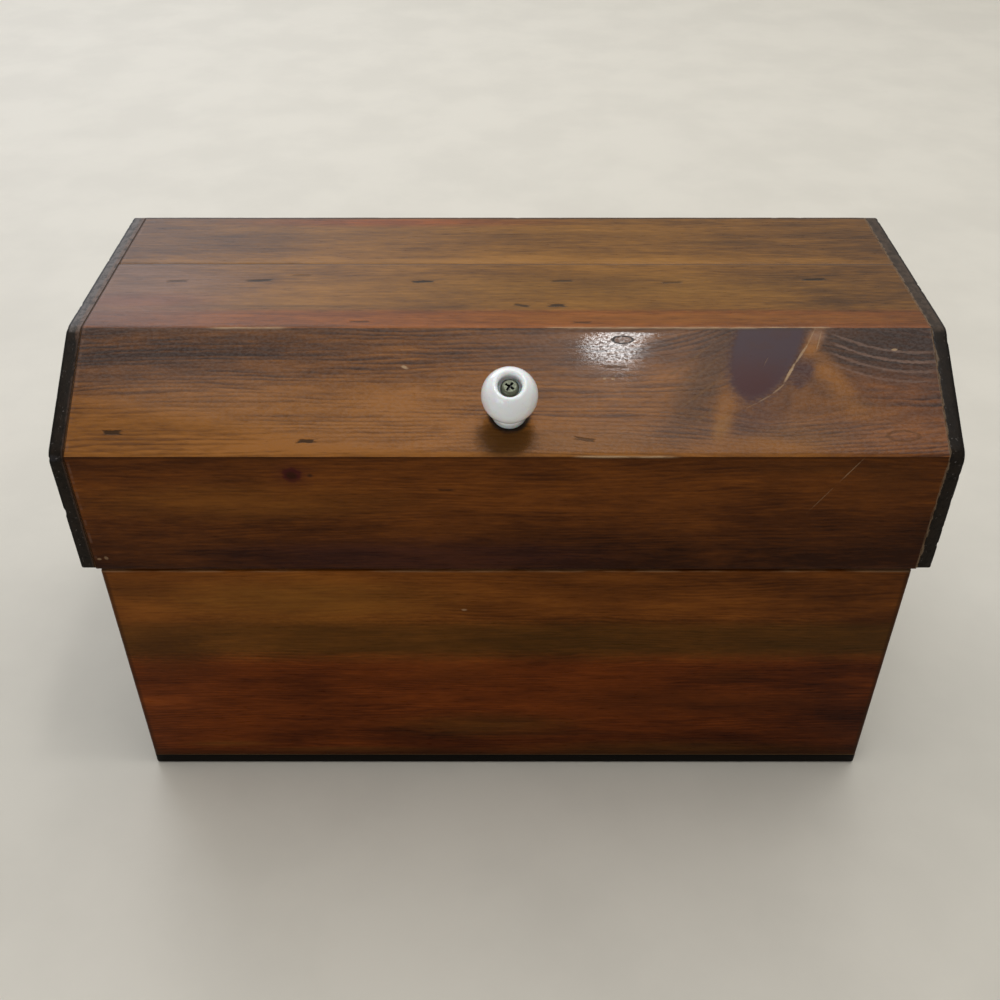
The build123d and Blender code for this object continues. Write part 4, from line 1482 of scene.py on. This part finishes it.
class CHEST_OT_knob_fixings(bpy.types.Operator):
    """Finishes the knob's bolt, washer and nut"""

    bl_idname = "chest.knob_fixings"
    bl_label = "Knob fixings"

    def execute(self, context):
        metal = context.scene.chest_metal
        bolt, _, _ = [
            worn_metal(node, metal.steel, metal.steel_grime, seed, 0.66, 0.30)
            for node, seed in (("knob_bolt", 5.0), ("knob_washer", 6.0), ("knob_nut", 7.0))
        ]
        # Painted shade, black and not metal, below the head's top and near its middle, which is the cross
        up, _ = bolt.round_axis(*facing("knob_bolt", LID_BOARDS["lid_front_slope_board"]))
        _, out = bolt.round_axis(*knob_foot())
        cross = up.rise(-0.05, -0.30) * up.rise(-2.2, -1.9) * out.rise(3.2, 2.9)
        bolt.set(base_color=bolt.mix(cross, bolt.shade, metal.cross_shade), metallic=1.0 - cross)
        return {"FINISHED"}


class CHEST_OT_hinges(bpy.types.Operator):
    """Finishes the hinges' leaves and pins"""

    bl_idname = "chest.hinges"
    bl_label = "Hinges"

    def execute(self, context):
        metal = context.scene.chest_metal
        for seed, side in ((11.0, "left"), (13.0, "right")):
            for part, patches in (("body_leaf", 0.47), ("lid_leaf", 0.49), ("pin", 0.55)):
                node = f"{side}_hinge_{part}"
                worn_metal(node, metal.brass, metal.tarnish, seed + patches, patches, grain=0.45)
        return {"FINISHED"}


class CHEST_OT_hinge_screws(bpy.types.Operator):
    """Finishes the hinges' screws"""

    bl_idname = "chest.hinge_screws"
    bl_label = "Hinge screws"

    def execute(self, context):
        metal = context.scene.chest_metal
        for node, seed in (("hinge_body_screws", 17.0), ("hinge_lid_screws", 19.0)):
            worn_metal(node, metal.brass, metal.tarnish, seed, 0.52, 0.30, 1.4)
        return {"FINISHED"}


class CHEST_OT_brads(bpy.types.Operator):
    """Finishes the brads' dark heads"""

    bl_idname = "chest.brads"
    bl_label = "Brads"

    def execute(self, context):
        metal = context.scene.chest_metal
        for node, seed in (("corner_brads", 23.0), ("bottom_brads", 29.0), ("lid_end_brads", 31.0)):
            worn_metal(node, metal.steel, metal.steel_grime, seed, 0.42, 0.45, 1.6)
        return {"FINISHED"}


# The floor's radius, and the distances between which it fades into the backdrop, in metres
FLOOR_RADIUS = 6.0
FADE_FROM = 1.8
FADE_TO = 4.2
# Where each light stands, where it looks and its size, in metres
LIGHTS = {
    "ceiling_light": ((0.1, 0.85, 2.0), (0.0, 0.45, 0.0), (3.0, 2.8)),
    "window_light": ((-0.75, 1.9, 1.15), (-0.2, 0.0, 0.25), (1.7, 1.1)),
    "fill_light": ((-1.3, -1.7, 0.55), (0.0, -0.1, 0.15), (1.2, 0.9)),
    "overhead_lamp": ((0.208, -0.134, 1.731), (0.054, -0.073, 0.243), (0.125, 0.085)),
}


class CHEST_OT_stage(bpy.types.Operator):
    """Builds the floor, the lights and the camera"""

    bl_idname = "chest.stage"
    bl_label = "Stage"

    def execute(self, context):
        stage = context.scene.chest_stage
        scene = context.scene
        scene.view_settings.view_transform = "Standard"
        camera = bpy.data.cameras.new("camera")
        camera.lens = stage.focal_length
        camera.sensor_width = 36.0
        camera.clip_start = 0.01
        seat = bpy.data.objects.new("camera", camera)
        seat.location = stage.camera_place
        seat.rotation_euler = (math.pi / 2 - stage.camera_pitch, 0, 0)
        scene.collection.objects.link(seat)
        scene.camera = seat

        bm = bmesh.new()
        bmesh.ops.create_circle(bm, cap_ends=True, segments=96, radius=FLOOR_RADIUS)
        floor = piece_from(bm, "floor")
        floor.data.materials.append(floor_finish(stage))

        add_light("ceiling_light", stage.ceiling_watts)
        fade_light(add_light("window_light", stage.window_watts, stage.window_tint))
        add_light("fill_light", stage.fill_watts, stage.window_tint)
        add_light("overhead_lamp", stage.lamp_watts)
        light_world(stage)
        return {"FINISHED"}


def floor_finish(stage):
    """A plain pale floor with a faint mottle."""
    finish = Finish("floor_finish")
    place = finish.object_place()
    mottle = finish.mottle(place, 9.0, 5.0, 0.55)
    darker = [0.94 * channel for channel in stage.floor]
    finish.set(base_color=finish.mix(mottle.rise(0.35, 0.65), stage.floor, darker), roughness=0.6)
    # Far from the chest the floor fades into the backdrop
    distance = finish.vector("LENGTH", place, (0, 0, 0), "Value")
    sockets = {"Color": stage.backdrop, "Strength": stage.backdrop_strength}
    glow = finish.node("ShaderNodeEmission", sockets=sockets)
    near = Wire(finish, finish.shader.outputs["BSDF"])
    sockets = {0: distance.rise(FADE_FROM, FADE_TO), 1: near, 2: glow}
    faded = finish.node("ShaderNodeMixShader", sockets=sockets)
    finish.feed(finish.tree.nodes["Material Output"].inputs["Surface"], faded)
    return finish.material


def add_light(name, watts, tint=(1.0, 1.0, 1.0)):
    """A soft rectangular light that looks at its target."""
    place, target, size = LIGHTS[name]
    light = bpy.data.lights.new(name, "AREA")
    light.shape = "RECTANGLE"
    light.size, light.size_y = size
    light.energy = watts
    light.color = tint
    lamp = bpy.data.objects.new(name, light)
    lamp.location = place
    lamp.rotation_euler = (Vector(place) - Vector(target)).to_track_quat("Z", "Y").to_euler()
    lamp.visible_camera = False
    bpy.context.scene.collection.objects.link(lamp)
    return light


def fade_light(light):
    """Lets a light fade across its width."""
    light.use_nodes = True
    nodes = Nodes(light.node_tree)
    place = nodes.node("ShaderNodeNewGeometry", output="Parametric")
    across = nodes.node("ShaderNodeSeparateXYZ", sockets={0: place})
    nodes.feed(nodes.tree.nodes["Emission"].inputs["Strength"], across)


def light_world(stage):
    """Plain light all round, with a pale backdrop for the camera and for reflections."""
    world = bpy.data.worlds.new("world")
    bpy.context.scene.world = world
    world.use_nodes = True
    nodes = Nodes(world.node_tree)
    camera, through, mirrored = (
        nodes.node("ShaderNodeLightPath", output=f"Is {kind} Ray")
        for kind in ("Camera", "Transmission", "Glossy")
    )
    seen = camera.most(through).most(mirrored)
    strength = nodes.node("ShaderNodeMix", sockets={0: seen, 2: stage.ambient, 3: stage.backdrop_strength})
    background = nodes.tree.nodes["Background"]
    nodes.feed(background.inputs["Strength"], strength)
    nodes.feed(background.inputs["Color"], stage.backdrop)


class CHEST_PT_finish(bpy.types.Panel):
    """Lists the operators that build and finish the pieces of the chest."""

    bl_idname = "CHEST_PT_finish"
    bl_label = "Keepsake chest"
    bl_space_type = "VIEW_3D"
    bl_region_type = "UI"
    bl_category = "Chest"

    def draw(self, context):
        for operator in OPERATORS:
            self.layout.operator(operator.bl_idname)


SETTINGS = {
    "chest_wood": WoodSettings,
    "chest_knob": KnobSettings,
    "chest_metal": MetalSettings,
    "chest_stage": StageSettings,
}
OPERATORS = [
    CHEST_OT_lid_boards,
    CHEST_OT_lid_ends,
    CHEST_OT_body_boards,
    CHEST_OT_bottom_board,
    CHEST_OT_knob,
    CHEST_OT_knob_fixings,
    CHEST_OT_hinges,
    CHEST_OT_hinge_screws,
    CHEST_OT_brads,
    CHEST_OT_stage,
]


def register():
    for settings in SETTINGS.values():
        bpy.utils.register_class(settings)
    for name, settings in SETTINGS.items():
        setattr(bpy.types.Scene, name, PointerProperty(type=settings))
    for operator in OPERATORS:
        bpy.utils.register_class(operator)
    bpy.utils.register_class(CHEST_PT_finish)


def unregister():
    bpy.utils.unregister_class(CHEST_PT_finish)
    for operator in reversed(OPERATORS):
        bpy.utils.unregister_class(operator)
    for name in SETTINGS:
        delattr(bpy.types.Scene, name)
    for settings in reversed(SETTINGS.values()):
        bpy.utils.unregister_class(settings)


def main():
    register()
    for operator in OPERATORS:
        group, name = operator.bl_idname.split(".")
        getattr(getattr(bpy.ops, group), name)()


if __name__ == "__main__":
    main()
